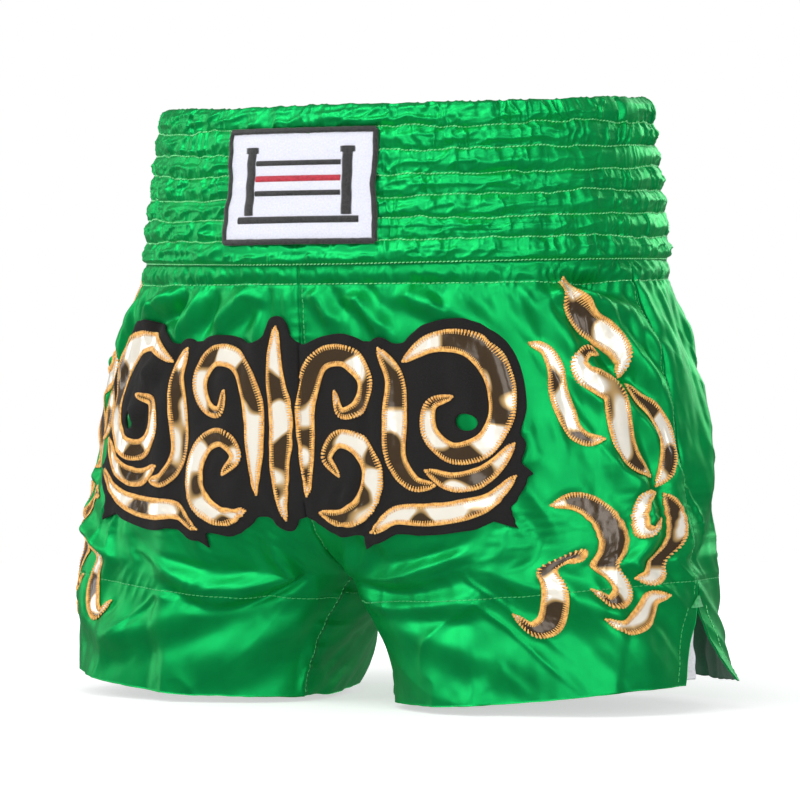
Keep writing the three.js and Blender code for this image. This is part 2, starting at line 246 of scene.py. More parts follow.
def controls(z, is_back):
    """The four control points of half a level section, as x and y arrays."""
    a, b = torso_size(z)
    drop = 1 - np.exp(np.minimum(0, z + BAND_DROP) / 40)
    front, back = (start + gain * drop for start, gain in (FRONT_HANDLE, BACK_HANDLE))
    legs = ease((LEG_START_Z - z) / LEG_BLEND)
    k = leg_share(z)
    ca, sa = math.cos(SEAM_ANGLE), math.sin(SEAM_ANGLE)

    def blend(torso, control):
        high, low = LEG_CONTROLS[control]
        return tuple(mix(torso[i], mix(high[i], low[i], k), legs) for i in (0, 1))

    if is_back:
        edge = side_edge(z, SPLIT_BACK)
        first = blend((edge[0] + back * a * ca, edge[1] + back * b * sa), "back_outer")
        second = blend((back * a, b), "back_inner")
        return edge, first, second, inner_edge(z, b, BACK_RISE_START)
    edge = side_edge(z, SPLIT_FRONT)
    first = blend((front * a, -b), "front_inner")
    second = blend((edge[0] - front * a * ca, edge[1] - front * b * sa), "front_outer")
    return inner_edge(z, -b, FRONT_RISE_START), first, second, edge


def left_point(s, z, is_back):
    """Points on the wearer's left half. s runs 0 to 1 over the front and 1 to 2 over the back."""
    p = controls(z, is_back)
    t = s - 1 if is_back else s
    r = 1 - t
    weights = (r ** 3, 3 * r * r * t, 3 * r * t * t, t ** 3)
    x = sum(w * q[0] for w, q in zip(weights, p))
    y = sum(w * q[1] for w, q in zip(weights, p))
    return np.stack(np.broadcast_arrays(x, y, z), -1).astype(float)


def frontness(s):
    return np.cos(np.pi * s / 2)


def rim_z(s):
    return -RIM_TILT * frontness(s)


def seam_z(s):
    return -BAND_DROP - BAND_TILT * frontness(s)


def hem_z(s):
    return HEM_LEVEL + HEM_SIDE_LIFT * ease(np.where(s < 1, (s - 0.35) / 0.65, (2.3 - s) / 0.9))


def row_z(s, t):
    """Height of a row of the cloth. The back's rows are drawn to the front's at the inseam."""
    z = mix(seam_z(s), hem_z(s), t)
    front = mix(seam_z(0.0), hem_z(0.0), t)
    back = mix(seam_z(2.0), hem_z(2.0), t)
    return z + ease(s - 1) * ease((t - 0.35) / 0.3) * (front - back)


def row_of(s, z):
    """The share down the cloth of a height."""
    t = (seam_z(s) - z) / (seam_z(s) - hem_z(s))
    for _ in range(3):
        t = t + (row_z(s, t) - z) / ROW_SPAN
    return t


def grid_normals(p):
    """Outward normals of a grid of the wearer's left half, s along axis 0 and down along axis 1."""
    return unit(np.cross(np.gradient(p, axis=0), -np.gradient(p, axis=1)))


# ---- meshes

def grid_faces(n, m, ring=False):
    i = np.arange(n if ring else n - 1)[:, None]
    j = np.arange(m - 1)[None, :]
    a = i * m + j
    b = ((i + 1) % n) * m + j
    return np.stack([a, b, b + 1, a + 1], -1).reshape(-1, 4)


def rim_faces(n, m, gap):
    """Faces that join the borders of an outer grid and of the inner one gap vertices later."""
    border = np.concatenate([
        np.arange(n) * m,
        (n - 1) * m + np.arange(1, m),
        np.arange(n - 2, -1, -1) * m + m - 1,
        np.arange(m - 2, 0, -1),
    ])
    after = np.roll(border, -1)
    return np.stack([border, border + gap, after + gap, after], -1)


def link(name, data):
    made = bpy.data.objects.new(name, data)
    bpy.context.scene.collection.objects.link(made)
    return made


def mesh_object(name, points, faces):
    """A mesh object from points in millimetres."""
    mesh = bpy.data.meshes.new(name)
    mesh.from_pydata((np.asarray(points) * MM).tolist(), [], faces.tolist())
    return link(name, mesh)


def new_piece(name, points, faces, material, uv=None):
    """A smooth piece that rides on the body."""
    piece = mesh_object(name, points, faces)
    mesh = piece.data
    mesh.polygons.foreach_set("use_smooth", [True] * len(mesh.polygons))
    if uv is not None:
        layer = mesh.uv_layers.new(name="cloth")
        corner = np.empty(len(mesh.loops), int)
        mesh.loops.foreach_get("vertex_index", corner)
        layer.data.foreach_set("uv", (np.asarray(uv) * MM)[corner].ravel())
    mesh.materials.append(material)
    mesh.update()
    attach(piece, BODY)
    return piece


def slab_piece(name, outer, inner, material, uv, side=1, reverse=None):
    """A closed sheet between two grids of points. reverse is the material of its inner face."""
    n, m = outer.shape[:2]
    face = grid_faces(n, m)
    faces = np.concatenate([face, face[:, ::-1] + n * m, rim_faces(n, m, n * m)[:, ::-1]])
    points = np.concatenate([outer.reshape(-1, 3), inner.reshape(-1, 3)])
    both = np.concatenate([uv.reshape(-1, 2)] * 2)
    piece = new_piece(name, points, faces[:, ::-side], material, both)
    if reverse:
        piece.data.materials.append(reverse)
        order = np.arange(len(faces))
        inner_face = (order >= len(face)) & (order < 2 * len(face))
        piece.data.polygons.foreach_set("material_index", inner_face.astype(int))
    return piece


# ---- materials

def new_material(name, colour, inputs):
    """A material and its shader, with the given plain inputs."""
    made = bpy.data.materials.new(name)
    made.use_nodes = True
    shader = made.node_tree.nodes["Principled BSDF"]
    shader.inputs["Base Color"].default_value = (*colour, 1)
    for key, value in inputs.items():
        shader.inputs[key].default_value = value
    return made, shader


def add_node(made, kind, values, **sources):
    """A node with the given settings. sources are the sockets that feed its inputs."""
    node = made.node_tree.nodes.new(kind)
    for key, value in values.items():
        if key in node.inputs:
            node.inputs[key].default_value = value
        else:
            setattr(node, key, value)
    for key, source in sources.items():
        made.node_tree.links.new(source, node.inputs[key])
    return node


def cloth_space(made, stretch=1.0, source="UV"):
    """Coordinates for a pattern. UVs are in metres on the cloth."""
    place = add_node(made, "ShaderNodeTexCoord", {})
    mapping = add_node(made, "ShaderNodeMapping", {"Scale": (1, stretch, 1)}, Vector=place.outputs[source])
    return mapping.outputs["Vector"]


def noise_value(made, space, scale, detail=3.0, roughness=0.5):
    values = {"Scale": scale, "Detail": detail, "Roughness": roughness}
    return add_node(made, "ShaderNodeTexNoise", values, Vector=space).outputs["Fac"]


def wave_value(made, space, scale, direction="X"):
    values = {"Scale": scale, "Detail": 1.0, "bands_direction": direction}
    return add_node(made, "ShaderNodeTexWave", values, Vector=space).outputs["Fac"]


def colour_from(made, shader, value, low, high, start=0.3, end=0.7):
    ramp = add_node(made, "ShaderNodeValToRGB", {}, Fac=value)
    for element, position, colour in zip(ramp.color_ramp.elements, (start, end), (low, high)):
        element.position = position
        element.color = (*colour, 1)
    made.node_tree.links.new(ramp.outputs["Color"], shader.inputs["Base Color"])
    return ramp


def roughness_from(made, shader, value, low, high):
    span = add_node(made, "ShaderNodeMapRange", {"To Min": low, "To Max": high}, Value=value)
    made.node_tree.links.new(span.outputs["Result"], shader.inputs["Roughness"])


def add_bumps(made, shader, layers):
    """Stacks bump nodes. layers holds (height, strength, distance in metres)."""
    below = {}
    for height, strength, distance in layers:
        values = {"Strength": strength, "Distance": distance}
        node = add_node(made, "ShaderNodeBump", values, Height=height, **below)
        below = {"Normal": node.outputs["Normal"]}
    made.node_tree.links.new(below["Normal"], shader.inputs["Normal"])


def satin_material(name, low, high):
    """Satin: long floats give tinted highlights, with a fine weave and faint streaks along it."""
    inputs = {"Roughness": 0.42, "Metallic": 0.84, "Specular IOR Level": 0.4}
    made, shader = new_material(name, high, inputs)
    space = cloth_space(made)
    streaks = cloth_space(made, 0.16)
    colour_from(made, shader, noise_value(made, space, 55, 4), low, high)
    roughness_from(made, shader, noise_value(made, streaks, 700, 2), 0.40, 0.50)
    add_bumps(made, shader, [
        (wave_value(made, space, 640, "X"), 0.10, 0.00006),
        (wave_value(made, space, 760, "Y"), 0.16, 0.00006),
        (noise_value(made, streaks, 1500, 2), 0.12, 0.00008),
    ])
    return made


def foil_material():
    """Mirror foil on cloth: crinkled, with sharp patches of pale cream and dark brown over its gold, a
    painted reflection of bright and dark surroundings.
    """
    inputs = {"Roughness": 0.22, "Metallic": 0.3, "Coat Weight": 0.35, "Coat Roughness": 0.14,
              "Specular IOR Level": 0.6}
    made, shader = new_material("gold_foil_painted_reflections", (0.8, 0.62, 0.36), inputs)
    space = cloth_space(made)
    # Painted reflection: noise patches switch the colour between dark brown and pale cream, as a mirror
    # shows dark and bright surroundings.
    reflection_patches = noise_value(made, space, 46, 0, 0.4)
    ramp = colour_from(made, shader, reflection_patches, (0.060, 0.036, 0.016), (1.0, 0.95, 0.83), 0.46, 0.54)
    ramp.color_ramp.elements.new(0.5).color = (0.60, 0.38, 0.15, 1)
    fine = noise_value(made, space, 420, 3, 0.6)
    roughness_from(made, shader, fine, 0.16, 0.3)
    values = {"Scale": 260.0, "feature": "DISTANCE_TO_EDGE"}
    cells = add_node(made, "ShaderNodeTexVoronoi", values, Vector=space)
    add_bumps(made, shader, [(cells.outputs["Distance"], 0.10, 0.0004), (fine, 0.04, 0.0003)])
    return made


def thread_material(name, dark, light, roughness=0.5, metallic=0.0):
    """Embroidery thread: twisted plies and slight changes of colour from stitch to stitch."""
    inputs = {"Roughness": roughness, "Metallic": metallic, "Sheen Weight": 0.3}
    made, shader = new_material(name, light, inputs)
    space = cloth_space(made, source="Object")
    colour_from(made, shader, noise_value(made, space, 620, 2), dark, light, 0.3, 0.6)
    add_bumps(made, shader, [(noise_value(made, space, 3200, 2), 0.5, 0.0003)])
    return made


def felt_material():
    """Black felt: matted fibres with hardly any shine."""
    inputs = {"Roughness": 0.92, "Sheen Weight": 0.03, "Sheen Roughness": 0.6, "Specular IOR Level": 0.25}
    made, shader = new_material("black_felt_cloth", (0.014, 0.013, 0.013), inputs)
    space = cloth_space(made)
    fibres = noise_value(made, space, 1600, 5, 0.7)
    colour_from(made, shader, fibres, (0.006, 0.0055, 0.0055), (0.020, 0.0185, 0.018), 0.35, 0.75)
    add_bumps(made, shader, [(fibres, 0.6, 0.0004), (noise_value(made, space, 240, 3), 0.3, 0.0004)])
    return made


def woven_material(name, low, high, pitch, strength=0.5):
    """Plain woven cloth with a visible warp and weft."""
    made, shader = new_material(name, high, {"Roughness": 0.75, "Sheen Weight": 0.2})
    space = cloth_space(made)
    warp = wave_value(made, space, pitch, "X")
    weft = wave_value(made, space, pitch * 1.2, "Y")
    colour_from(made, shader, noise_value(made, space, 900, 3), low, high, 0.25, 0.7)
    add_bumps(made, shader, [(warp, strength, 0.00015), (weft, strength, 0.00015)])
    return made


def elastic_material():
    """Flat woven elastic, ribbed across."""
    made, shader = new_material("woven_elastic", (0.8, 0.8, 0.78), {"Roughness": 0.85})
    space = cloth_space(made, source="Object")
    colour_from(made, shader, noise_value(made, space, 500, 2), (0.66, 0.66, 0.64), (0.85, 0.85, 0.83))
    add_bumps(made, shader, [(wave_value(made, space, 260, "Z"), 0.6, 0.0003)])
    return made


SATIN = satin_material("green_satin", (0.002, 0.42, 0.098), (0.004, 0.54, 0.122))
# The satin's reverse face is made far darker than its face: partly the dull woven back, mostly painted shade
# of the inside of the shorts.
SATIN_REVERSE_SHADED = woven_material("green_satin_reverse_painted_shade", (0.001, 0.070, 0.026), (0.003, 0.12, 0.045), 640, 0.4)
BAND_SATIN = satin_material("green_satin_gathered", (0.003, 0.46, 0.110), (0.006, 0.60, 0.136))
FOIL = foil_material()
GOLD_THREAD = thread_material("orange_gold_thread", (0.60, 0.25, 0.04), (1.0, 0.55, 0.13), 0.45, 0.1)
GREEN_THREAD = thread_material("light_green_thread", (0.08, 0.60, 0.18), (0.24, 0.86, 0.36))
SATIN_THREAD = thread_material("green_thread", (0.01, 0.34, 0.09), (0.05, 0.56, 0.17))
BLACK_THREAD = thread_material("black_thread", (0.010, 0.010, 0.010), (0.035, 0.034, 0.034), 0.6)
RED_THREAD = thread_material("red_thread", (0.36, 0.006, 0.02), (0.56, 0.02, 0.045))
FELT = felt_material()
LABEL = woven_material("woven_label_ground", (0.76, 0.77, 0.88), (0.88, 0.89, 0.99), 1100)
TAPE = woven_material("white_tape_cloth", (0.78, 0.78, 0.85), (0.92, 0.92, 0.96), 700, 0.7)
ELASTIC = elastic_material()


# ---- ornaments

FRONT_MIDDLE = -14.0
FRONT_FLAME = ([(0, -129), (-2, -150), (1, -178), (-1, -206), (0, -235)], 15, 0.5)
FRONT_HALF = [
    ([(17, -222), (17, -196), (18, -168), (28, -147), (45, -145), (56, -158),
      (52, -173), (41, -176), (37, -165)], 12.5, 0.36),
    ([(25, -232), (41, -235), (56, -226), (60, -209), (52, -194), (38, -191),
      (30, -201), (38, -211)], 12.5, 0.36),
    ([(65, -141), (74, -157), (74, -180), (75, -202), (86, -215), (97, -216)], 14, 0.45),
    ([(80, -147), (97, -137), (117, -138), (132, -153), (136, -175), (127, -193),
      (109, -198), (95, -187), (96, -171), (109, -167)], 14.5, 0.34),
    ([(93, -208), (108, -214), (122, -212), (134, -204), (143, -193)], 10.5, 0.45),
    ([(60, -242), (74, -233), (94, -232), (112, -230), (130, -224), (144, -211)], 11.5, 0.42),
]
SIDE_FLAMES = [
    ([(156, -101), (160, -114), (169, -125), (181, -132), (190, -139), (194, -147),
      (191, -154)], 11.5, 0.5),
    ([(137, -137), (145, -140), (151, -149), (153, -162), (157, -174), (162, -185),
      (170, -190), (179, -190)], 8.4, 0.55),
    ([(177, -142), (170, -141), (165, -147), (168, -154), (177, -159), (185, -164),
      (188, -174), (190, -184), (192, -193), (198, -203), (208, -210)], 13, 0.6),
    ([(197, -160), (202, -166), (211, -173), (219, -184), (222, -195), (220, -207),
      (214, -215)], 10, 0.66),
    ([(211, -220), (204, -223), (201, -231), (205, -240), (212, -241), (215, -235)], 6, 0.35),
    ([(219, -221), (226, -231), (231, -242), (233, -252), (231, -261), (224, -266),
      (217, -266)], 12, 0.45),
    ([(151, -226), (163, -224), (175, -229), (186, -240), (196, -252), (205, -263),
      (204, -274), (195, -279), (188, -273)], 12, 0.42),
    ([(183, -256), (175, -254), (170, -260), (169, -270), (163, -282), (154, -292),
      (145, -294), (139, -287)], 10, 0.45),
    ([(231, -276), (222, -277), (214, -284), (205, -290), (195, -293), (187, -289)], 7.6, 0.5),
]
TIP_WIDTH = 1.2
FULLNESS = 0.62
SIDE_SPREAD = {"left": 2.4, "right": 1.2}
FIELD_REACH = 24
LEFT_START = 125
RIGHT_START = 147
RIGHT_SQUEEZE = 0.8


def scroll_curve(points, count):
    """Evenly spaced points along a centripetal Catmull-Rom curve through the given ones."""
    p = np.array(points, float)
    p = np.vstack([2 * p[0] - p[1], p, 2 * p[-1] - p[-2]])
    dense = []
    for a, b, c, d in zip(p, p[1:], p[2:], p[3:]):
        k = np.cumsum([0, *[max(np.linalg.norm(v), 1e-6) ** 0.5 for v in (b - a, c - b, d - c)]])
        t = np.linspace(k[1], k[2], 24)[:, None]

        def between(start, end, i, j):
            return (k[j] - t) / (k[j] - k[i]) * start + (t - k[i]) / (k[j] - k[i]) * end

        middle = between(b, c, 1, 2)
        early = between(between(a, b, 0, 1), middle, 0, 2)
        late = between(middle, between(c, d, 2, 3), 1, 3)
        dense.append(between(early, late, 1, 2))
    dense = np.vstack(dense)
    length = path_length(dense)
    even = np.linspace(0, length[-1], count)
    return np.stack([np.interp(even, length, dense[:, i]) for i in (0, 1)], -1), length[-1]


def scroll_width(width, peak, t):
    rise = np.where(t < peak, t / peak, (1 - t) / (1 - peak))
    return TIP_WIDTH + (width - TIP_WIDTH) * np.sin(np.pi / 2 * clamp(rise)) ** FULLNESS


def front_scrolls():
    """Every scroll of the front ornament: its node, points, width and peak."""
    points, width, peak = FRONT_FLAME
    scrolls = [("front_foil_centre", [(FRONT_MIDDLE + u, z) for u, z in points], width, peak)]
    for i, (points, width, peak) in enumerate(FRONT_HALF):
        for side, word in SIDES:
            moved = [(FRONT_MIDDLE + side * u, z) for u, z in points]
            scrolls.append((f"front_foil_{word}_{i + 1}", moved, width, peak))
    return scrolls


def side_scrolls():
    """Every flame at the sides. Those on the wearer's right lie further round, closer together."""
    scrolls = []
    for i, (points, width, peak) in enumerate(SIDE_FLAMES):
        right = [(-(RIGHT_START + RIGHT_SQUEEZE * (u - LEFT_START)), z) for u, z in points]
        for word, places in (("left", points), ("right", right)):
            scrolls.append((f"side_foil_{word}_{i + 1}", places, width + SIDE_SPREAD[word], peak))
    return scrolls


def ornament_distance(scrolls):
    """Signed distance to the edge of the nearest scroll on a level u, z raster."""
    discs = []
    for _, points, width, peak in scrolls:
        middle, _ = scroll_curve(points, 90)
        half = scroll_width(width, peak, np.linspace(0, 1, 90)) / 2
        discs.append(np.column_stack([middle, half]))
    discs = np.vstack(discs)
    us, zs = (np.arange(discs[:, i].min() - FIELD_REACH, discs[:, i].max() + FIELD_REACH) for i in (0, 1))
    field = np.full((len(us), len(zs)), 99.0)
    for u, z, r in discs:
        near_u = np.abs(us - u) < FIELD_REACH
        near_z = np.abs(zs - z) < FIELD_REACH
        reach = np.hypot(us[near_u][:, None] - u, zs[near_z][None, :] - z) - r
        block = np.ix_(near_u, near_z)
        field[block] = np.minimum(field[block], reach)
    return us, zs, field


def raster_value(raster, u, z):
    """Bilinear value of a raster at scattered places."""
    us, zs, field = raster
    i = (np.asarray(u) - us[0]) / (us[1] - us[0])
    j = (np.asarray(z) - zs[0]) / (zs[1] - zs[0])
    return sample(field[..., None], i, j)[..., 0]


FRONT_FIELD = ornament_distance(front_scrolls())
SIDE_FIELD = ornament_distance(side_scrolls())


# ---- folds of the satin

GATHER_REACH = 470.0
FOLD_GAIN = 1.85
# How free the satin is under the felt and under the foil.
UNDER_FELT = 0.22
UNDER_FOIL = 0.3


def gathers(c, h):
    """Small pleats that leave the waist seam and die out below it. They fan towards the sides."""
    rng = np.random.default_rng(11)
    total = np.zeros_like(c)
    place = -GATHER_REACH
    while place < GATHER_REACH:
        place += rng.uniform(6, 13)
        width = rng.uniform(2.6, 5.2)
        height = rng.uniform(1.0, 3.4)
        length = rng.choice([18, 30, 55, 110], p=[0.3, 0.3, 0.25, 0.15])
        slant = 0.62 * np.clip(place / 150, -1, 1) + rng.uniform(-0.14, 0.14)
        x = (c - place - slant * h) / (width * (1 + h / 50))
        total += height * (bump(x) - 0.45 * bump(x - 1.5)) * np.exp(-h / length) * ease(h / 10)
    return total


# Long folds: start and end as (distance round, height), bend, half width and height.
FOLDS = [
    ((142, -108), (222, -130), 4, 6, 2.4),
    ((146, -108), (234, -154), 8, 7, 2.8),
    ((150, -108), (232, -188), 10, 9, 3.2),
    ((128, -104), (196, -236), 18, 11, 3.0),
    ((84, -106), (140, -226), 12, 9, 3.2),
    ((62, -106), (104, -140), 4, 7, 2.8),
    ((34, -108), (56, -140), 3, 7, 3.0),
    ((8, -108), (24, -132), 2, 7, 2.6),
    ((170, -150), (236, -236), 10, 10, 3.0),
    ((196, -200), (240, -286), -8, 9, 2.6),
    ((118, -240), (206, -286), -10, 10, 2.6),
    ((16, -256), (118, -248), -14, 7, 2.8),
    ((24, -270), (150, -262), -16, 8, 2.4),
    ((40, -284), (170, -318), -8, 14, 2.0),
    ((-60, -106), (-154, -232), -12, 9, 3.2),
    ((-82, -104), (-170, -176), -10, 8, 3.4),
    ((-96, -104), (-196, -216), -14, 8, 3.2),
    ((-28, -108), (-64, -138), -4, 7, 3.0),
    ((-150, -110), (-220, -230), -10, 10, 3.2),
    ((-24, -250), (-138, -254), 24, 6, 3.2),
    ((-34, -262), (-120, -268), 18, 5, 2.4),
    ((-50, -268), (-168, -300), 16, 12, 1.8),
    ((-120, -306), (-226, -262), 12, 13, 1.8),
    ((-166, -262), (-240, -184), 8, 10, 3.0),
    ((-14, -288), (-90, -326), 8, 14, 1.7),
]


def long_folds(c, z, paths):
    """Soft folds along bent paths, each with a hollow on one side."""
    total = np.zeros_like(c)
    wobble = 3.0 * noise(c / 34, z / 34, 5)
    for (c0, z0), (c1, z1), bend, half, height in paths:
        along = np.array([c1 - c0, z1 - z0], float)
        span = np.linalg.norm(along)
        along = along / span
        t = ((c - c0) * along[0] + (z - z0) * along[1]) / span
        across = (c - c0) * -along[1] + (z - z0) * along[0]
        across = across - bend * 4 * t * (1 - t) + wobble
        taper = ease(t / 0.18 + 0.15) * ease((1 - t) / 0.45 + 0.1)
        x = across / (0.8 * half)
        total += FOLD_GAIN * height * taper * (bump(x) - 0.5 * bump(x - 1.6) - 0.25 * bump(x + 1.8))
    return total


def back_folds():
    """Folds over the seat, mirrored with small changes."""
    rng = np.random.default_rng(23)
    paths = []
    for side in (1, -1):
        for start, run, drop, half, height in (
            (300, 20, 120, 12, 3.2),
            (330, 42, 150, 12, 3.0),
            (366, 26, 130, 13, 3.2),
            (402, 10, 110, 11, 2.8),
            (276, -26, 170, 14, 2.6),
            (350, 60, 200, 15, 2.4),
        ):
            shift = rng.uniform(-8, 8)
            end = (side * (start + run + shift), -104 - drop)
            paths.append(((side * (start + shift), -104), end, side * rng.uniform(-14, 14), half, height))
    return paths


def calm(c, z, is_back):
    """How free the satin is: stiffer where felt or foil is sewn on it."""
    if is_back:
        return np.ones_like(c)
    felt = ease((raster_value(FRONT_FIELD, c, z) - 2) / 14)
    foil = ease((raster_value(SIDE_FIELD, c, z) + 3) / 7)
    return mix(UNDER_FELT, 1, felt) * mix(UNDER_FOIL, 1, foil)


def body_folds(c, z, h, free):
    """Folds, creases and fine waves of the loose satin, at a depth h below the waist seam."""
    fan = c - 0.5 * np.clip(c / 150, -1, 1) * h
    slope = c - 0.8 * np.abs(z + 90) * np.clip(c / 120, -1, 1)
    total = gathers(c, np.maximum(h - TOPSTITCH_DROP, 0)) * (h > 0) * mix(0.5, 1, free)
    total += long_folds(c, z, FOLDS + back_folds()) * mix(0.05, 1, free)
    total += 3.4 * noise(fan / 31, (z + 0.6 * np.abs(c)) / 50, 31) * mix(0.4, 1, free) * ease((h - 14) / 40)
    fine = 1.5 * creased(noise(fan / 26, z / 60, 32), 0.4) + 0.35 * noise(fan / 8, z / 22, 33)
    total += fine * free * ease((h - 14) / 30)
    streak = creased(noise(slope / 13, (z + 0.5 * np.abs(c)) / 52, 35), 0.35, 1.8)
    total += 2.1 * streak * ease(0.5 + noise(c / 60, z / 60, 36)) * free * ease((h - 20) / 40)
    return total + 0.5 * creased(noise(c / 17, z / 9, 34), 0.4) * free * bump((z + 250) / 30)


def waist_ruffle(c, h):
    """The gathered collar between the waist seam and its topstitching."""
    ruck = creased(noise(c / 4.1 + 0.8 * noise(c / 30, h / 6, 41), h / 12, 42), 0.5, 1.4)
    strong = mix(0.55, 1.0, 0.5 + 0.5 * noise(c / 38, 0.5, 43))
    near_seam = np.exp(-np.maximum(h - TOPSTITCH_DROP, 0) / 5)
    total = 1.5 * np.exp(-np.maximum(h, 0) / 4) + 1.3 * bump((h - 5.2) / 3.4)
    total += 2.3 * ruck * strong * near_seam * ease(h / 3)
    return total - 0.9 * bump((h - TOPSTITCH_DROP) / 1.1)


def hem_pucker(c, g):
    """Puckers along the hem's stitches and a slow wave at the edge, at a height g above it."""
    line = g - TURNED_HEM
    pull = creased(noise(c / 7.5, line / 30, 51), 0.45)
    total = 0.9 * pull * ease(0.5 + noise(c / 55, 0.2, 52)) * bump(line / 8) - 0.35 * bump(line / 0.9)
    return total + 0.9 * noise(c / 40, 0.3, 53) * ease((30 - g) / 30)


def satin_relief(c, z, s, is_back):
    """How far the satin of the body stands off its smooth surface."""
    h = seam_z(s) - z
    relief = body_folds(c, z, h, calm(c, z, is_back)) + waist_ruffle(c, h) + hem_pucker(c, z - hem_z(s))
    centre = 2 - s if is_back else s
    from_inseam = centre * PANEL_ROUND
    low = ease((CROTCH_Z + 30 - z) / 30)
    relief *= mix(1, ease(from_inseam / 14), low) * ease(np.abs(from_inseam) / 5 + 0.35)
    pull = creased(noise(z / 6.5, centre * 20, 61), 0.45)
    relief += mix(0.7, 1.5, low) * pull * bump(from_inseam / 9) * ease((h - 14) / 20)
    relief -= mix(0.9, 1.7, low) * bump(from_inseam / 1.7)
    to_side = np.abs(s - 1) * PANEL_ROUND
    shut = ease((z - SPLIT_TOP_Z + 6) / 12)
    pull = creased(noise(z / 8, 3.3, 62), 0.45)
    relief += shut * (0.5 * pull * bump(to_side / 8) - 0.9 * bump(to_side / 1.6))
    relief *= mix(1, 0.4, (1 - shut) * bump(to_side / 14))
    if is_back:
        flare = 9.0 * (1 - ease(to_side / 34)) - 6.5 * bump((to_side - 62) / 34)
        relief += ease((SPLIT_TOP_Z - z) / 55) * flare
    return relief


# ---- draping by cloth simulation

DRAPE_COLUMNS = 46
DRAPE_ROWS = 50
DRAPE_FRAMES = 50
FORM_INSET = 8.0
MEAN_RADIUS = 160
GATHER = 0.09
FULLER = 0.035
DRAPE_SHARE = 0.6
CLOTH_SETTINGS = {
    "quality": 6,
    "mass": 0.3,
    "tension_stiffness": 15,
    "compression_stiffness": 15,
    "shear_stiffness": 4,
    "bending_stiffness": 0.4,
    "air_damping": 2,
}


def smooth_grid(is_back, columns, rows):
    """Places and points of an undraped panel on the wearer's left."""
    s = (float(is_back) + np.linspace(0, 1, columns))[:, None] + np.zeros((1, rows))
    z = row_z(s, np.linspace(0, 1, rows)[None, :])
    return s, z, left_point(s, z, is_back)


def joined_panels(columns, rows, inset=0.0):
    """The four panels as one mesh, welded at the seams, and the vertex of each grid place."""
    blocks, faces = [], []
    for side, _ in SIDES:
        for is_back in (False, True):
            _, _, flat = smooth_grid(is_back, columns, rows)
            flat = flat - grid_normals(flat) * inset
            if inset:
                middle = flat[-1 if is_back else 0]
                middle[:, 0] = np.maximum(middle[:, 0], 0)
            blocks.append(mirrored(flat, side).reshape(-1, 3))
            faces.append(grid_faces(columns, rows)[:, ::-side] + len(faces) * columns * rows)
    points = np.concatenate(blocks)
    _, first, vertex = np.unique(np.round(points + 0.0123, 1), axis=0, return_index=True,
                                 return_inverse=True)
    vertex = vertex.ravel()
    return points[first], vertex[np.concatenate(faces)], vertex.reshape(4, columns, rows)


def fuller_shape(points):
    """The cloth's cut: wider round than the form it lies on, most of all at the gathered seam."""
    drop = clamp((-BAND_DROP - points[:, 2]) / (-BAND_DROP - HEM_LEVEL))
    wider = 1.0 + GATHER * (1 - drop) ** 2 + FULLER
    return points * np.stack([wider, wider, np.full(len(points), 1.01)], -1)


def inner_form():
    """The stiff shape that the satin lies on."""
    points, faces, _ = joined_panels(DRAPE_COLUMNS // 2, DRAPE_ROWS // 2, FORM_INSET)
    form = mesh_object("inner_form", points, faces)
    form.modifiers.new("collision", "COLLISION")
    form.collision.thickness_outer = 0.002
    form.collision.cloth_friction = 12
    form.collision.use_culling = True
    return form


def loose_satin(points, faces, vertex):
    """The satin before it falls: slightly uneven, held at the waist seam, with its real cut."""
    rng = np.random.default_rng(17)
    top = np.unique(vertex[:, :, 0])
    around = np.arctan2(points[:, 0], -points[:, 1]) * MEAN_RADIUS
    loose = rng.normal(0, 0.12, points.shape)
    loose += unit(points * [1, 1, 0]) * (1.4 * noise(around / 17, points[:, 2] / 60, 19))[:, None]
    loose[top] = 0
    satin = mesh_object("draped_satin", points + loose, faces)
    satin.shape_key_add(name="Basis")
    cut = satin.shape_key_add(name="cut")
    cut.data.foreach_set("co", (fuller_shape(points) * MM).ravel())
    held = satin.vertex_groups.new(name="held")
    held.add([int(k) for k in top], 1.0, "REPLACE")
    cloth = satin.modifiers.new("cloth", "CLOTH")
    for key, value in CLOTH_SETTINGS.items():
        setattr(cloth.settings, key, value)
    cloth.settings.vertex_group_mass = "held"
    cloth.settings.rest_shape_key = cut
    cloth.collision_settings.distance_min = 0.002
    cloth.collision_settings.use_self_collision = False
    cloth.point_cache.frame_start = 1
    cloth.point_cache.frame_end = DRAPE_FRAMES
    return satin


def drape():
    """Simulates the satin on the inner form and gives each panel's grid of points."""
    points, faces, vertex = joined_panels(DRAPE_COLUMNS, DRAPE_ROWS)
    form = inner_form()
    satin = loose_satin(points, faces, vertex)
    scene = bpy.context.scene
    for step in range(1, DRAPE_FRAMES + 1):
        scene.frame_set(step)
    seen = satin.evaluated_get(bpy.context.evaluated_depsgraph_get())
    moved = np.empty(len(seen.data.vertices) * 3)
    seen.data.vertices.foreach_get("co", moved)
    moved = moved.reshape(-1, 3) / MM
    scene.frame_set(1)
    for piece in (satin, form):
        bpy.data.objects.remove(piece)
    keys = [(side, is_back) for side, _ in SIDES for is_back in (False, True)]
    return {key: mirrored(moved[vertex[k]], key[0]) for k, key in enumerate(keys)}


def finer(grid, columns, rows):
    """A grid with more points, by cubic steps between the old ones."""

    def stretch(values, count):
        padded = np.concatenate([2 * values[:1] - values[1:2], values, 2 * values[-1:] - values[-2:-1]])
        at = np.linspace(0, len(values) - 1, count)
        i = np.minimum(at.astype(int), len(values) - 2)
        f = (at - i)[:, None, None]
        a, b, c, d = padded[i], padded[i + 1], padded[i + 2], padded[i + 3]
        return b + 0.5 * f * (c - a + f * (2 * a - 5 * b + 4 * c - d + f * (3 * (b - c) + d - a)))

    wide = stretch(grid, columns)
    return stretch(wide.transpose(1, 0, 2), rows).transpose(1, 0, 2)


DRAPED = drape()


# ---- the four panels

COLUMNS = 210
ROWS = 210
HALF_GIRTH = 420.0
HEM_GAP = 0.35


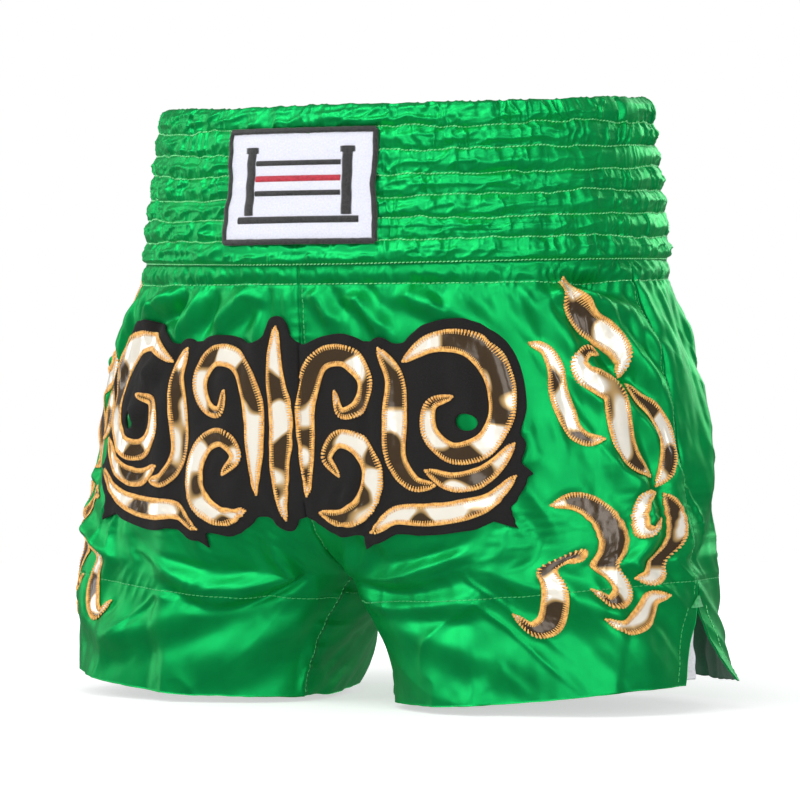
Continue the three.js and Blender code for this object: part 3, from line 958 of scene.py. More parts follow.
def make_panel(is_back, side, start):
    """Grids of one panel on the wearer's left, with the folds that its side has."""
    s, z, flat = smooth_grid(is_back, COLUMNS, ROWS)
    flat = mix(flat, finer(DRAPED[side, is_back], COLUMNS, ROWS), DRAPE_SHARE)
    step = np.linalg.norm(np.diff(flat, axis=0), axis=-1)
    c = np.concatenate([np.zeros((1, ROWS)), np.cumsum(step, axis=0)]) + start
    normal = grid_normals(flat)
    shape = flat + normal * satin_relief(side * c, z, s, is_back)[..., None]
    return {"s": s, "z": z, "c": c, "shape": shape, "normal": grid_normals(shape), "base": normal}


front_left = make_panel(False, 1, 0.0)
FRONT_LENGTH = front_left["c"][-1]
PANELS = {
    (1, False): front_left,
    (-1, False): make_panel(False, -1, 0.0),
    (1, True): make_panel(True, 1, FRONT_LENGTH),
    (-1, True): make_panel(True, -1, FRONT_LENGTH),
}


def round_table():
    """For each row of the panels, the s of every whole millimetre round from the centre front."""
    front, back = PANELS[1, False], PANELS[1, True]
    us = np.arange(0, HALF_GIRTH)
    table = np.empty((len(us), ROWS))
    for j in range(ROWS):
        c = np.concatenate([front["c"][:, j], back["c"][1:, j]])
        s = np.concatenate([front["s"][:, j], back["s"][1:, j]])
        table[:, j] = np.interp(us, c, s)
    return table[..., None]


ROUND = round_table()


def cloth_at(side, s, z, lift=0.0):
    """Points and normals at a lift above the folded satin. side, s and z are arrays."""
    side, s, z, lift = (np.asarray(v, float) for v in np.broadcast_arrays(side, s, z, lift))
    t = row_of(s, z)
    points = np.empty(s.shape + (3,))
    normals = np.empty(s.shape + (3,))
    for (k, is_back), panel in PANELS.items():
        chosen = (side == k) & ((s > 1) == is_back)
        i = (s[chosen] - is_back) * (COLUMNS - 1)
        j = t[chosen] * (ROWS - 1)
        points[chosen] = mirrored(sample(panel["shape"], i, j), k)
        normals[chosen] = mirrored(sample(panel["normal"], i, j), k)
    normals = unit(normals)
    return points + normals * lift[..., None], normals


def round_place(u, z):
    """s of a place at a distance round from the centre front, by a few steps of repair."""
    u, z = np.abs(np.asarray(u, float)), np.asarray(z, float)
    s = clamp(u / PANEL_ROUND)
    for _ in range(4):
        s = sample(ROUND, u, row_of(s, z) * (ROWS - 1))[..., 0]
    return s


def front_at(u, z, lift=0.0):
    """Points and normals on the body at a distance round the front, positive to the left."""
    u, z = np.broadcast_arrays(np.asarray(u, float), np.asarray(z, float))
    return cloth_at(np.where(u < 0, -1.0, 1.0), round_place(u, z), z, lift)


def build_panels():
    """The four satin panels, with the hem turned in double."""
    for (side, is_back), panel in PANELS.items():
        word = "left" if side > 0 else "right"
        name = f"{'back' if is_back else 'front'}_panel_{word}"
        above_hem = panel["z"] - hem_z(panel["s"])
        depth = SATIN_THICK + (SATIN_THICK + HEM_GAP) * ease((TURNED_HEM - above_hem) / 1.2 + 0.5)
        outer = mirrored(panel["shape"], side)
        inner = mirrored(panel["shape"] - panel["base"] * depth[..., None], side)
        uv = np.stack([panel["c"] * side, panel["z"]], -1)
        # The inner face gets the darker reverse material, which carries painted shade of the inside.
        piece = slab_piece(f"{name}_satin", outer, inner, SATIN, uv, side, SATIN_REVERSE_SHADED)
        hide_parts(name)


# ---- the waistband

RING = 1400
TUBE_ROWS = 14
INNER_STEP = 2
# One blister, at a place s and a tube, and one pleat, at a distance round and a tube.
BLISTER = (0.86, 4.5)
PLEAT = (196, 0.3)


def ring_place(count):
    q = np.arange(count) * 4.0 / count
    side = np.where(q <= 2, 1.0, -1.0)
    return side, np.where(q <= 2, q, 4 - q)


def band_base(side, s, t):
    """Smooth points and normals of the band at shares t of its height below the rim."""
    z = mix(rim_z(s), seam_z(s), t)
    step = 0.002
    is_front = s <= 1

    def place(s_at, z_at):
        front = left_point(s_at, z_at, False)
        back = left_point(s_at, z_at, True)
        return np.where(is_front[..., None], front, back)

    p = place(s, z)
    across = place(s + step, z) - place(s - step, z)
    up = place(s, z + 1) - place(s, z - 1)
    normal = unit(np.cross(across, up))
    flip = np.stack([side, np.ones_like(side), np.ones_like(side)], -1)
    return p * flip, normal * flip


def ring_length(count):
    side, s = ring_place(count)
    p, _ = band_base(side, s, np.full(count, 0.5))
    step = np.linalg.norm(np.roll(p, -1, axis=0) - p, axis=1)
    return np.concatenate([[0], np.cumsum(step)[:-1]]), step.sum()


def band_relief(c, length, t, s):
    """How far the outer cloth of the band stands off its middle: tubes, puckers and creases."""
    v = t * TUBES
    tube = np.minimum(np.floor(v), TUBES - 1)
    f = clamp(v - tube)
    crest = np.sin(np.pi * f)
    sideways = ease(1 - np.abs(s - 1.0) / 0.55)

    def around(pitch, down, seed, lean=0.0):
        cells = round(length / pitch)
        return noise(c * cells / length + lean, down, seed, cells)

    lean = 1.1 * around(24, tube * 3.1, 71) * (f - 0.5) + 0.5 * around(9, v * 2.2, 78)
    fine = creased(around(5.6, tube * 1.7 + 0.35 * f, 72, lean), 0.45, 1.5)
    half = creased(around(3.1, tube * 2.3 + 0.5 * f, 73, -lean), 0.45, 1.5)
    patch = ease(0.5 + 0.9 * around(34, tube * 1.9, 74))
    strength = mix(0.9, 1.0, sideways) * mix(0.6, 1.25, patch)
    ruck = (2.4 * fine + 0.7 * half) * mix(1.0, 0.66, crest) * strength
    slanted = creased(around(11, v * 2.6, 75, 1.6 * v), 0.35, 2.0)
    level = creased(around(44, v * 2.7, 76), 0.3, 2.2)
    crumple = (2.3 * slanted + 1.7 * level) * crest * mix(1.0, 0.35, sideways)
    fullness = 1 + 0.25 * around(52, tube * 2.7, 77)
    crown = (TUBE_CROWN - TUBE_PINCH) * crest ** 0.8 * fullness
    blister = 1.6 * bump((s - BLISTER[0]) / 0.035) * bump((v - BLISTER[1]) / 0.4)
    relief = TUBE_PINCH + 0.3 + crown + ruck + crumple + blister
    relief -= 2.4 * bump((c - PLEAT[0]) / 2.0) * bump((v - PLEAT[1]) / 0.8)
    from_front = np.minimum(c, length - c)
    under_label = ease((LABEL_HALF + 8 - from_front) / 6) * ease((v - 0.9) / 0.4) * ease((6.9 - v) / 0.4)
    relief = np.minimum(relief, mix(12.0, 4.0, under_label))
    relief = np.maximum(relief, 0.85)
    return mix(0.7, relief, ease((TUBES - v) / 0.2 + 0.1))


def stitch_wave(c, length, index):
    """How far a stitch line of the band strays up and down."""
    slow = noise(c / 34, index * 3.3, 81, round(length / 34))
    quick = noise(c / 6.5, index * 5.1, 82, round(length / 6.5))
    return 1.5 * slow + 0.85 * quick


def band_surface(c, length, side, s, t, outside=True):
    """Points and normals on the outer or inner cloth of the band, for ring columns by rows."""
    v = t * TUBES
    low = np.floor(v)
    wave = mix(stitch_wave(c, length, low), stitch_wave(c, length, low + 1), v - low)
    wave = wave * ease(t * 12) * ease((1 - t) * 12)
    p, n = band_base(side, s, t)
    p = p + UP * wave[..., None]
    relief = band_relief(c, length, t, s)
    if outside:
        return p + n * relief[..., None], n
    return p - n * (TUBE_PINCH + 0.62 * (relief - TUBE_PINCH))[..., None], -n


def rim_roll(c, length):
    """How high the folded rim stands, with its puckers."""
    cells = length / 4.3
    ruck = creased(noise(c * round(cells) / length, 1.2, 83, round(cells)), power=1.4)
    return 1.0 + 0.9 * ruck + 0.8 * noise(c / 22, 0.5, 84, round(length / 22))


def build_band():
    """The waistband: outer cloth, rolled rim and inner cloth as one closed sheet."""
    c, length = ring_length(RING)
    side, s = ring_place(RING)
    rows = np.linspace(1, 0, TUBES * TUBE_ROWS + 1)
    inner_rows = np.linspace(0, 1, TUBES * TUBE_ROWS // INNER_STEP + 1)

    def spread(values, count):
        return np.broadcast_to(values[:, None], (RING, count))

    def face(rows_used, outside):
        count = len(rows_used)
        t = np.broadcast_to(rows_used[None, :], (RING, count))
        return band_surface(spread(c, count), length, spread(side, count), spread(s, count), t, outside)[0]

    outer, inner = face(rows, True), face(inner_rows, False)
    top, normal = band_base(side, s, np.zeros(RING))
    roll = rim_roll(c, length)
    arch = []
    for angle in (0.25, 0.5, 0.75):
        reach = math.cos(math.pi * angle) * TUBE_PINCH
        rise = math.sin(math.pi * angle) * roll
        arch.append(top + normal * reach + UP * rise[:, None])
    points = np.concatenate([outer, np.stack(arch, 1), inner], axis=1)
    m = points.shape[1]
    down = path_length(points[0])
    uv = np.stack(np.broadcast_arrays(c[:, None], down[None, :]), -1)
    faces = grid_faces(RING, m, ring=True)
    piece = new_piece("waistband_satin", points.reshape(-1, 3), faces, BAND_SATIN,
                      uv.reshape(-1, 2))
    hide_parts("waistband_cover")


# ---- thread

def threads(sections):
    """Closed threads. Every six entries of sections are the points of one ring along them."""
    points = np.stack(sections, 1)
    size = points.shape[1]
    base = np.arange(len(points))[:, None] * size
    faces = []
    for ring in range(0, size - 6, 6):
        for k in range(6):
            a, b = ring + k, ring + (k + 1) % 6
            faces.append(base + np.array([[a, a + 6, b + 6, b]]))
    for half in (np.array([0, 1, 2, 3]), np.array([0, 3, 4, 5])):
        faces.append(base + half[None, :])
        faces.append(base + (half[::-1] + size - 6)[None, :])
    return points.reshape(-1, 3), np.concatenate(faces)


def capsules(starts, ends, normals, radius, lift=0.0, arch=0.25):
    """Short threads between pairs of points, each arched a little off the cloth."""
    along = ends - starts
    middle = (starts + ends) / 2 + normals * (lift + arch)
    starts = starts + normals * (lift - 0.15)
    ends = ends + normals * (lift - 0.15)
    side = unit(np.cross(along, normals))
    up = unit(np.cross(side, along))
    control = 2 * middle - (starts + ends) / 2
    sections = []
    for share, size in ((0.0, 0.45), (0.2, 1.0), (0.5, 1.0), (0.8, 1.0), (1.0, 0.45)):
        curve = (1 - share) ** 2 * starts + 2 * share * (1 - share) * control + share ** 2 * ends
        for angle in range(0, 360, 60):
            x, y = math.cos(math.radians(angle)), math.sin(math.radians(angle))
            sections.append(curve + (side * x + up * y) * (radius * size))
    return threads(sections)


def stitch_line(name, points, normals, material, pitch=2.9, radius=0.26, zig=0.0, closed=False):
    """A line of machine stitches along a path. zig moves the ends from side to side."""
    if closed:
        points = np.vstack([points, points[:1]])
        normals = np.vstack([normals, normals[:1]])
    length = path_length(points)
    count = max(2, int(length[-1] / pitch))
    at = np.arange(count) * length[-1] / count

    def along(values, where):
        return np.stack([np.interp(where, length, values[:, i]) for i in range(3)], -1)

    starts, ends = along(points, at), along(points, at + length[-1] / count * STITCH_SHARE)
    facing = unit(along(normals, at))
    across = unit(np.cross(ends - starts, facing))
    starts = starts + across * zig
    ends = ends - across * zig
    made, faces = capsules(starts, ends, facing, radius)
    return new_piece(name, made, faces, material)


def build_band_stitches():
    """One line of stitches round the band below each tube."""
    count = 1600
    c, length = ring_length(count)
    side, s = ring_place(count)
    for line in range(1, TUBES + 1):
        t = np.full(count, min(line / TUBES, 0.994))
        p, n = band_surface(c, length, side, s, t, True)
        stitch_line(f"waist_stitches_{line}", p + n * 0.3, n, GREEN_THREAD, pitch=2.3, closed=True, zig=0.3,
                    radius=0.34)


def seam_line(name, side, s, z, material, radius=0.22, zig=0.0, lift=0.02):
    """A stitch line on the cloth along places s and heights z."""
    points, normals = cloth_at(side, s, z, lift)
    stitch_line(name, points, normals, material, zig=zig, radius=radius)


def build_level_stitches(side, word):
    """The stitches that run round, under the waist and above the hem."""
    for is_back, part in ((False, "front"), (True, "back")):
        s = np.linspace(0.004, 0.996, 260) + is_back
        waist = (f"waist_topstitch_{part}_{word}", seam_z(s) - TOPSTITCH_DROP, GREEN_THREAD, 0.26, 0.15)
        hem = (f"hem_stitches_{part}_{word}", hem_z(s) + TURNED_HEM, SATIN_THREAD, 0.24, 0.1)
        for name, z, material, radius, zig in (waist, hem):
            seam_line(name, side, s, z, material, radius, zig, 0.05)


def build_upright_stitches(side, word):
    """The stitches along the inseam, the seams and the split, as name, place s and run of heights."""
    rise = (STITCH_TOP, CROTCH_Z + 2, 150)
    split = (SPLIT_TOP_Z - 2, hem_z(1.0) + 2, 50)
    lines = [(f"inseam_stitches_{word}", 0.012, (CROTCH_Z - 4, hem_z(0.0) + 2, 80), SATIN_THREAD, 0.22, 0.1)]
    if side > 0:
        lines.append(("front_seam_stitches", 0.012, rise, SATIN_THREAD))
        lines.append(("back_seam_stitches", 1.985, rise, SATIN_THREAD))
    lines.append((f"side_seam_stitches_{word}", 0.988, (STITCH_TOP, SPLIT_TOP_Z + 4, 130), SATIN_THREAD))
    lines.append((f"split_stitches_front_{word}", 0.968, split, SATIN_THREAD, 0.24))
    lines.append((f"split_stitches_back_{word}", 1.03, split, GREEN_THREAD, 0.24))
    for name, s, (top, bottom, count), *look in lines:
        seam_line(name, side, np.full(count, s), np.linspace(top, bottom, count), *look)


def build_split(side, word):
    """The white tape behind the front edge of a split, and the thread bar above it."""
    t = np.linspace(0, 1, 40)[None, :]
    w = np.linspace(0, 1, 12)[:, None]
    z = mix(SPLIT_TOP_Z - 4, hem_z(1.0) + 3, t) + 0 * w
    edge, normal = cloth_at(side, np.full(z.shape, 0.9995), z, 0.0)
    inside, _ = cloth_at(side, mix(0.955, 0.9995, w) + 0 * z, z, 0.0)
    outward = unit(edge - cloth_at(side, np.full(z.shape, 0.98), z, 0.0)[0])
    reach = TAPE_REACH * ease(t * 1.1) ** 1.2 * ease(w * 2 - 1)
    wave = 0.4 * np.sin(t * 9 + w * 3)
    middle = inside + outward * reach[..., None] - normal * (2.1 + wave)[..., None]
    uv = np.stack(np.broadcast_arrays(w * TAPE_WIDTH, z), -1)
    back_of_tape = middle - normal * 0.5
    tape = slab_piece(f"split_tape_{word}_woven", middle, back_of_tape, TAPE, uv, side)
    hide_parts(f"split_tape_{word}")
    z = np.linspace(SPLIT_TOP_Z + 3.5, SPLIT_TOP_Z - 2.5, 13)
    half = np.linspace(0.6, 3.4, 13) / PANEL_ROUND
    starts, n = cloth_at(side, 1 - half * 1.6, z, 0.3)
    ends, _ = cloth_at(side, 1 + half * 1.2, z, 0.3)
    points, faces = capsules(starts, ends, n, 0.3, lift=0.3)
    bar = new_piece(f"split_bar_tack_{word}_thread", points, faces, SATIN_THREAD)
    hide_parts(f"split_bar_tack_{word}")


# ---- felt and foil

def filled(raster, reach):
    """Fills the hollows of a distance raster that a disc of the given radius can't enter."""
    us, zs, field = raster
    u, z = np.meshgrid(us, zs, indexing="ij")
    rim = (field >= reach) & (field < reach + 1.5)
    rim_u, rim_z = u[rim], z[rim]
    inside = field < reach
    inner_u, inner_z = u[inside], z[inside]
    nearest = np.full(inner_u.shape, 99.0)
    for du, dz in zip(rim_u, rim_z):
        nearest = np.minimum(nearest, np.hypot(inner_u - du, inner_z - dz))
    closed = field.copy()
    closed[inside] = np.minimum(field[inside], reach + 0.7 - nearest)
    return us, zs, closed


def felt_level(u, z):
    """Below 0 inside the felt: a slightly wavy margin round the filled ornament."""
    jag = 0.7 * noise(np.asarray(u) / 16, np.asarray(z) / 16, 91)
    return raster_value(FRONT_FIELD, u, z) - FELT_MARGIN - jag


# Pointed corners of the felt: a place on one half, and how far the point is drawn out from it.
FELT_TIPS = [(80, -150, -15, 11), (139, -207, 16, -2), (60, -240, -4, -12), (132, -226, 14, -13)]
TIP_RADIUS = 8.0
FELT_HOLE = (117, -181)
HOLE_RADIUS = 4.6
FELT_SPAN = ((-180, 152), (-262, -118))


def add_tips(raster):
    """Draws the felt out to a point at each tip, and cuts a small hole inside each large scroll."""
    us, zs, field = raster
    u, z = np.meshgrid(us, zs, indexing="ij")
    for side in (1, -1):
        for tip_u, tip_z, du, dz in FELT_TIPS:
            for share in np.linspace(0, 1, 12):
                reach = np.hypot(u - FRONT_MIDDLE - side * (tip_u + du * share), z - tip_z - dz * share)
                field = np.minimum(field, reach - TIP_RADIUS * (1 - share) + FELT_MARGIN)
    for side in (1, -1):
        across = (u - FRONT_MIDDLE - side * FELT_HOLE[0]) / 1.25
        hole = np.hypot(across, z - FELT_HOLE[1])
        field = np.maximum(field, FELT_MARGIN + HOLE_RADIUS - hole)
    return us, zs, field


FRONT_FIELD = add_tips(filled(FRONT_FIELD, 15.0))


def felt_cells(u, z):
    """The raster cells that the felt covers, the points that they use, and those on its border."""
    inside = felt_level(u, z) < 0
    corner = inside[:-1, :-1] | inside[1:, :-1] | inside[1:, 1:] | inside[:-1, 1:]
    half = FELT_PITCH / 2
    keep = corner & (felt_level(u[:-1, :-1] + half, z[:-1, :-1] + half) < FELT_PITCH * 0.35)
    used, whole = np.zeros_like(inside), np.ones_like(inside)
    padded = np.pad(keep, 1)
    for i, j in ((0, 0), (1, 0), (0, 1), (1, 1)):
        neighbour = padded[i:i + u.shape[0], j:j + u.shape[1]]
        used |= neighbour
        whole &= neighbour
    return keep, used, used & ~whole


def drawn_to_outline(u, z, border):
    """Moves the border points on to the felt's outline in a few steps."""
    for _ in range(5):
        gu = (felt_level(u + 0.4, z) - felt_level(u - 0.4, z)) / 0.8
        gz = (felt_level(u, z + 0.4) - felt_level(u, z - 0.4)) / 0.8
        size = np.maximum(gu ** 2 + gz ** 2, 0.2)
        move = np.where(border, np.clip(felt_level(u, z), -FELT_PITCH, FELT_PITCH), 0)
        u = u - move * gu / size * 0.8
        z = z - move * gz / size * 0.8
    return u, z


def build_felt():
    """The felt backing: a closed sheet with a wavy outline and a soft, fuzzy face."""
    us, zs = (np.arange(low, high, FELT_PITCH) for low, high in FELT_SPAN)
    u, z = np.meshgrid(us, zs, indexing="ij")
    keep, used, border = felt_cells(u, z)
    u, z = drawn_to_outline(u, z, border)
    total = used.sum()
    index = -np.ones(u.shape, int)
    index[used] = np.arange(total)
    i, j = np.nonzero(keep)
    top = np.stack([index[i, j], index[i + 1, j], index[i + 1, j + 1], index[i, j + 1]], -1)
    edges = np.concatenate([top[:, [k, (k + 1) % 4]] for k in range(4)])
    _, first, counts = np.unique(np.sort(edges, axis=1), axis=0, return_index=True, return_counts=True)
    rim = edges[first[counts == 1]]
    walls = np.stack([rim[:, 1], rim[:, 0], rim[:, 0] + total, rim[:, 1] + total], -1)
    u, z = u[used], z[used]
    edge_drop = 0.35 * ease((felt_level(u, z) + 1.2) / 1.2)
    fuzz = 0.10 * noise(u / 2.2, z / 2.2, 92) + 0.25 * noise(u / 14, z / 14, 93)
    outer, _ = front_at(u, z, FELT_LIFT + FELT_THICK - edge_drop + fuzz)
    inner, _ = front_at(u, z, FELT_LIFT - 0.5)
    points = np.concatenate([outer, inner])
    faces = np.concatenate([top, top[:, ::-1] + total, walls])
    uv = np.stack([np.tile(u, 2), np.tile(z, 2)], -1)
    piece = new_piece("front_felt", points, faces, FELT, uv)
    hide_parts("front_felt_backing")


def joined(rows):
    """Starts, ends and normals, each as one array, from a list of such triples."""
    return [np.concatenate(part) for part in zip(*rows)]


def scroll_frame(points, width, peak, count):
    """Middle line, directions, normals and half widths of a scroll, at even steps."""
    middle, _ = scroll_curve(points, count)
    direction = unit(np.gradient(middle, axis=0))
    normal = np.stack([-direction[:, 1], direction[:, 0]], -1)
    return middle, direction, normal, scroll_width(width, peak, np.linspace(0, 1, count)) / 2


def build_foil(name, points, width, peak, lift, seed):
    """One foil piece, puffed between its edges and crinkled. Its satin stitched border is made by
    build_border.
    """
    shares = np.linspace(-1, 1, 17)
    _, length = scroll_curve(points, 4)
    count = max(24, int(length / FOIL_STEP))
    middle, _, normal, half = scroll_frame(points, width, peak, count)
    uv = middle[:, None, :] + normal[:, None, :] * (half[:, None] * shares[None, :])[..., None]
    u, z = uv[..., 0], uv[..., 1]
    puff = np.sqrt(clamp(1 - shares ** 2))[None, :] * np.minimum(half, 6)[:, None] * PUFF
    crinkle = 0.16 * creased(noise(u / 5.5, z / 5.5, seed), 0.4, 1.8)
    crinkle += 0.06 * noise(u / 2.1, z / 2.1, seed + 1)
    crinkle = crinkle * clamp(1.15 - shares ** 2)[None, :] * clamp(half / 4)[:, None]
    outer, _ = front_at(u, z, lift + FOIL_THICK + puff + crinkle)
    inner, _ = front_at(u, z, lift - 0.1)
    piece = slab_piece(f"{name}_cloth", outer, inner, FOIL, uv, side=-1)
    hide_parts(name)


def build_border(name, points, width, peak, lift):
    """Satin stitches across both edges: wide and touching outside, comb-like inside."""
    _, length = scroll_curve(points, 4)
    count = int(length / STITCH_PITCH) + 1
    middle, direction, normal, half = scroll_frame(points, width, peak, count)
    reach = np.minimum(STITCH_WIDTH, np.maximum(half * 0.92, 0.8))
    rows = []
    for side in (1, -1):
        out = middle + normal * (side * (half + 0.55))[:, None]
        into = middle + normal * (side * (half - reach))[:, None] + direction * 0.35 * side
        start, facing = front_at(*out.T, lift + 0.35)
        end, _ = front_at(*into.T, lift + FOIL_THICK + PUFF * reach + 0.30)
        rows.append((start, end, facing))
    for tip, sign in ((slice(0, 1), -1), (slice(-1, None), 1)):
        start, facing = front_at(*(middle[tip] + direction[tip] * sign * 1.6).T, lift + 0.3)
        end, _ = front_at(*(middle[tip] - direction[tip] * sign * 1.4).T, lift + 0.8)
        rows.append((start, end, facing))
    made, faces = wedges(*joined(rows))
    new_piece(f"{name}_border", made, faces, GOLD_THREAD)


# Share along a satin stitch, and the half width and height of the bundle there.
WEDGE_PROFILE = (
    (0.0, 0.60, 0.10),
    (0.2, 0.72, 0.55),
    (0.5, 0.68, 0.50),
    (0.62, 0.34, 0.42),
    (1.0, 0.24, 0.12),
)


def wedges(starts, ends, normals):
    """Satin stitches: bundles of thread that are broad at the start and narrow at the end."""
    along = ends - starts
    side = unit(np.cross(along, normals))
    up = unit(np.cross(side, along))
    sections = []
    for share, wide, tall in WEDGE_PROFILE:
        curve = starts + along * share
        for x, y in ((1, -0.6), (0.85, 0.6), (0.35, 1.0), (-0.35, 1.0), (-0.85, 0.6), (-1, -0.6)):
            sections.append(curve + side * (x * wide) + up * (y * tall))
    return threads(sections)


def build_ornaments():
    build_felt()
    layers = ((front_scrolls(), FELT_LIFT + FELT_THICK, 300), (side_scrolls(), 0.25, 600))
    for scrolls, lift, seed in layers:
        for k, scroll in enumerate(scrolls):
            build_foil(*scroll, lift, seed + 7 * k)
            build_border(*scroll, lift)


# ---- the label

def label_at(u, z, lift):
    """Points and normals on the label. It rides over the tubes and bends a little with them."""
    u, z = np.broadcast_arrays(np.asarray(u, float), np.asarray(z, float))
    step = np.linspace(0, 0.8, 400)
    path = left_point(step, np.full(400, LABEL_MIDDLE), False)
    length = path_length(path)
    s = np.interp(np.abs(u), length, step)
    side = np.where(u < 0, -1.0, 1.0)
    t = (rim_z(s) - z) / (rim_z(s) - seam_z(s))
    p, n = band_base(side, s, t)
    wave = 0.3 * np.cos(2 * np.pi * (t * TUBES - 0.5)) + 0.55 * noise(u / 30, z / 22, 95)
    waist = -1.6 * bump((z - LABEL_MIDDLE) / 9) * clamp(np.abs(u) / LABEL_HALF) ** 6 * np.sign(u)
    p = p + n * (LABEL_LIFT + wave + lift)[..., None]
    p[..., 0] += waist
    return p, n


def build_label():
    """The woven ground of the label, with its stitched edge and picture."""
    n, m = 120, 80
    u = np.linspace(-LABEL_HALF, LABEL_HALF, n)[:, None] + np.zeros((1, m))
    z = np.linspace(LABEL_TOP, LABEL_BOTTOM, m)[None, :] + np.zeros((n, 1))
    outer, _ = label_at(u, z, 0.0)
    inner, _ = label_at(u, z, -0.5)
    uv = np.stack([u, z], -1)
    ground = slab_piece("label_ground_woven", outer, inner, LABEL, uv)
    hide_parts("label_ground")
    build_label_edge()
    build_label_icon()


def build_label_edge():
    """Overlocked black edge: slanted threads wrapped over the rim of the label."""
    corners = np.array([(-LABEL_HALF, LABEL_TOP), (LABEL_HALF, LABEL_TOP), (LABEL_HALF, LABEL_BOTTOM),
                        (-LABEL_HALF, LABEL_BOTTOM)], float)
    grow = LABEL_EDGE / 2
    corners += np.sign(corners - corners.mean(axis=0)) * grow * 0.8
    rows = []
    for a, b in zip(corners, np.roll(corners, -1, axis=0)):
        span = np.linalg.norm(b - a)
        direction = (b - a) / span
        outward = np.array([-direction[1], direction[0]])
        at = np.arange(0, span, 0.62)[:, None]
        path = a + direction * at
        reach = outward * (grow + 0.12 * noise(at[:, 0] / 1.7, span, 96)[:, None])
        start, facing = label_at(*(path + reach).T, -0.2)
        end, _ = label_at(*(path - reach + direction * 0.5).T, 0.1)
        rows.append((start, end, facing))
    made, faces = capsules(*joined(rows), 0.42, lift=0.35, arch=0.75)
    edge = new_piece("label_edge_thread", made, faces, BLACK_THREAD)
    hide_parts("label_edge")


def patch_stitches(u0, u1, z0, z1, upright=False):
    """Parallel satin stitches that fill a rectangle of the label."""
    at = np.arange(z1, z0, FILL_PITCH) if upright else np.arange(u0, u1, FILL_PITCH)
    start, facing = label_at(*((u0, at) if upright else (at, z0)), 0.05)
    end, _ = label_at(*((u1, at) if upright else (at, z1)), 0.05)
    return start, end, facing


def stitched_shape(name, boxes, material):
    made, faces = capsules(*joined([patch_stitches(*box) for box in boxes]), 0.36, lift=0.1, arch=0.3)
    new_piece(name, made, faces, material)


def build_label_icon():
    """A plain boxing ring: two corner posts and three ropes over a mat."""
    posts = []
    for middle in (-31, 31):
        posts.append((middle - 3.2, middle + 3.2, -30, -66, True))
        posts.append((middle - 4.6, middle + 4.6, -28, -31, True))
    ropes_and_mat = [(-27, 27, -35.5, -38.5), (-27, 27, -52.5, -55.5), (-38, 38, -67, -71)]
    stitched_shape("label_posts_thread", posts, BLACK_THREAD)
    stitched_shape("label_ropes_thread", ropes_and_mat, BLACK_THREAD)
    stitched_shape("label_middle_rope_thread", [(-27, 27, -44, -47.5)], RED_THREAD)


# ---- carried-over nodes and stage

def dress_elastics():
    """The elastics keep their solid shape and get their own woven material."""
    for i in range(1, TUBES + 1):
        node = frame["nodes"][f"waist_elastic_{i}"]
        node.data.materials.clear()
        node.data.materials.append(ELASTIC)


def build_stage():
    """A pale floor whose glow rises away from the object into plain white, as painted light; near the object
    it glows less and reads grey, a painted pool of shade on top of the lamps' real shadow.
    """
    turns = np.arange(FLOOR_CORNERS) * math.tau / FLOOR_CORNERS
    rim = np.stack([FLOOR_RADIUS * np.cos(turns), FLOOR_RADIUS * np.sin(turns), 0 * turns + FLOOR_Z], -1)
    floor = mesh_object("floor", rim / MM, np.arange(FLOOR_CORNERS)[None, :])
    inputs = {"Roughness": 0.8, "Specular IOR Level": 0.1, "Emission Color": (1, 1, 1, 1)}
    made, shader = new_material("pale_floor", (0.62, 0.62, 0.63), inputs)
    place = add_node(made, "ShaderNodeTexCoord", {})
    far = add_node(made, "ShaderNodeVectorMath", {"operation": "LENGTH"}, Vector=place.outputs["Object"])
    # Painted light and shade: emission grows with distance from the middle, dim near the object and full
    # white beyond.
    values = {"interpolation_type": "SMOOTHSTEP", "From Min": 0.25, "From Max": 0.62, "To Min": 0.45}
    span = add_node(made, "ShaderNodeMapRange", values, Value=far.outputs["Value"])
    made.node_tree.links.new(span.outputs["Result"], shader.inputs["Emission Strength"])
    floor.data.materials.append(made)
    floor.visible_glossy = False


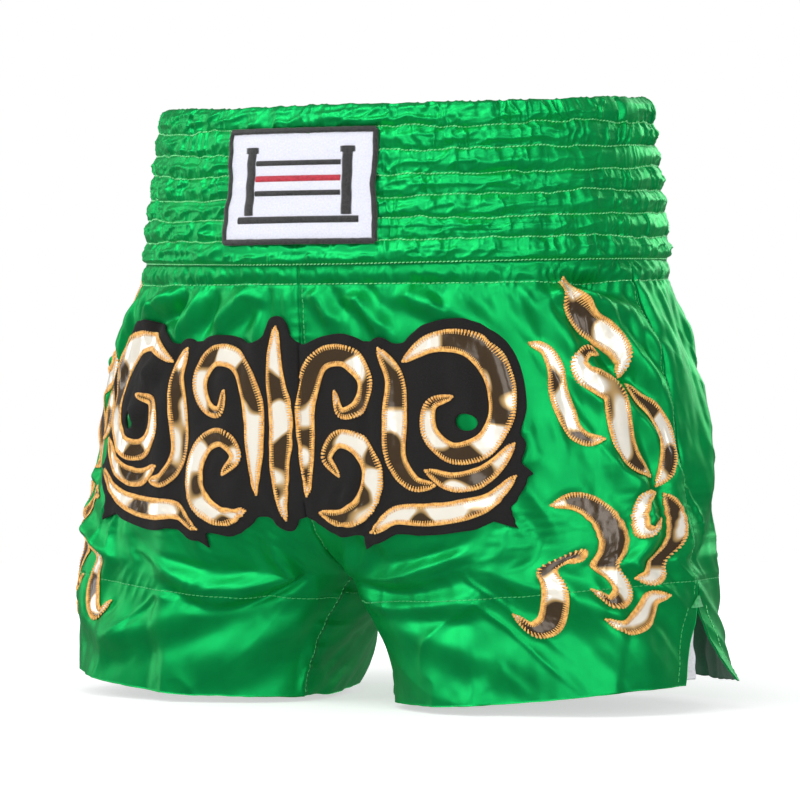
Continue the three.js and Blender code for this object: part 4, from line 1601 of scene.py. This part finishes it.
def build_lights():
    """Large soft lights: name, place, size and power. All but the top one face the middle."""
    for name, place, size, power in (
        ("key", (-1.3, -2.1, 1.3), (2.0, 1.7), 27),
        ("front", (1.5, -2.7, 0.45), (1.8, 1.4), 20),
        ("fill", (2.3, -1.2, 0.5), (0.5, 1.6), 10),
        ("top", (0.0, -0.8, 1.15), (1.4, 0.9), 9),
        ("left_edge", (-2.2, -0.2, 0.3), (0.6, 1.8), 8),
        ("back", (0.6, 2.4, 0.9), (1.8, 1.4), 22),
    ):
        data = bpy.data.lights.new(name, "AREA")
        data.shape = "RECTANGLE"
        data.size, data.size_y = size
        data.energy = power
        light = link(name, data)
        light.location = place
        target = Vector((0, 0, 0 if name == "top" else -0.16))
        light.rotation_euler = (target - Vector(place)).to_track_quat("-Z", "Y").to_euler()


def build_world():
    """White to the camera, and a faint even light on everything else."""
    world = bpy.data.worlds.new("studio")
    bpy.context.scene.world = world
    world.use_nodes = True
    nodes, links = world.node_tree.nodes, world.node_tree.links
    nodes.clear()
    blend = nodes.new("ShaderNodeMixShader")
    for socket, strength in ((1, WORLD_LIGHT), (2, 1.0)):
        ground = nodes.new("ShaderNodeBackground")
        ground.inputs["Color"].default_value = (1, 1, 1, 1)
        ground.inputs["Strength"].default_value = strength
        links.new(ground.outputs[0], blend.inputs[socket])
    path = nodes.new("ShaderNodeLightPath")
    out = nodes.new("ShaderNodeOutputWorld")
    links.new(path.outputs["Is Camera Ray"], blend.inputs["Fac"])
    links.new(blend.outputs[0], out.inputs["Surface"])


def build_camera():
    """A long lens, level with the shorts and turned towards the wearer's left."""
    data = bpy.data.cameras.new("camera")
    data.lens = 200
    data.sensor_width = 36
    data.shift_x = -0.005
    data.shift_y = -0.055
    data.clip_end = 50
    camera = link("camera", data)
    turn = CAMERA_TURN
    camera.location = (CAMERA_DISTANCE * math.sin(turn), -CAMERA_DISTANCE * math.cos(turn), CAMERA_Z)
    camera.rotation_euler = (math.radians(90), 0, turn)
    bpy.context.scene.camera = camera


build_camera()
build_panels()
build_band()
build_band_stitches()
for wearer_side, wearer_word in SIDES:
    build_level_stitches(wearer_side, wearer_word)
    build_upright_stitches(wearer_side, wearer_word)
for wearer_side, wearer_word in SIDES:
    build_split(wearer_side, wearer_word)
build_ornaments()
build_label()
dress_elastics()
build_stage()
build_lights()
build_world()
bpy.context.scene.view_settings.view_transform = "Standard"
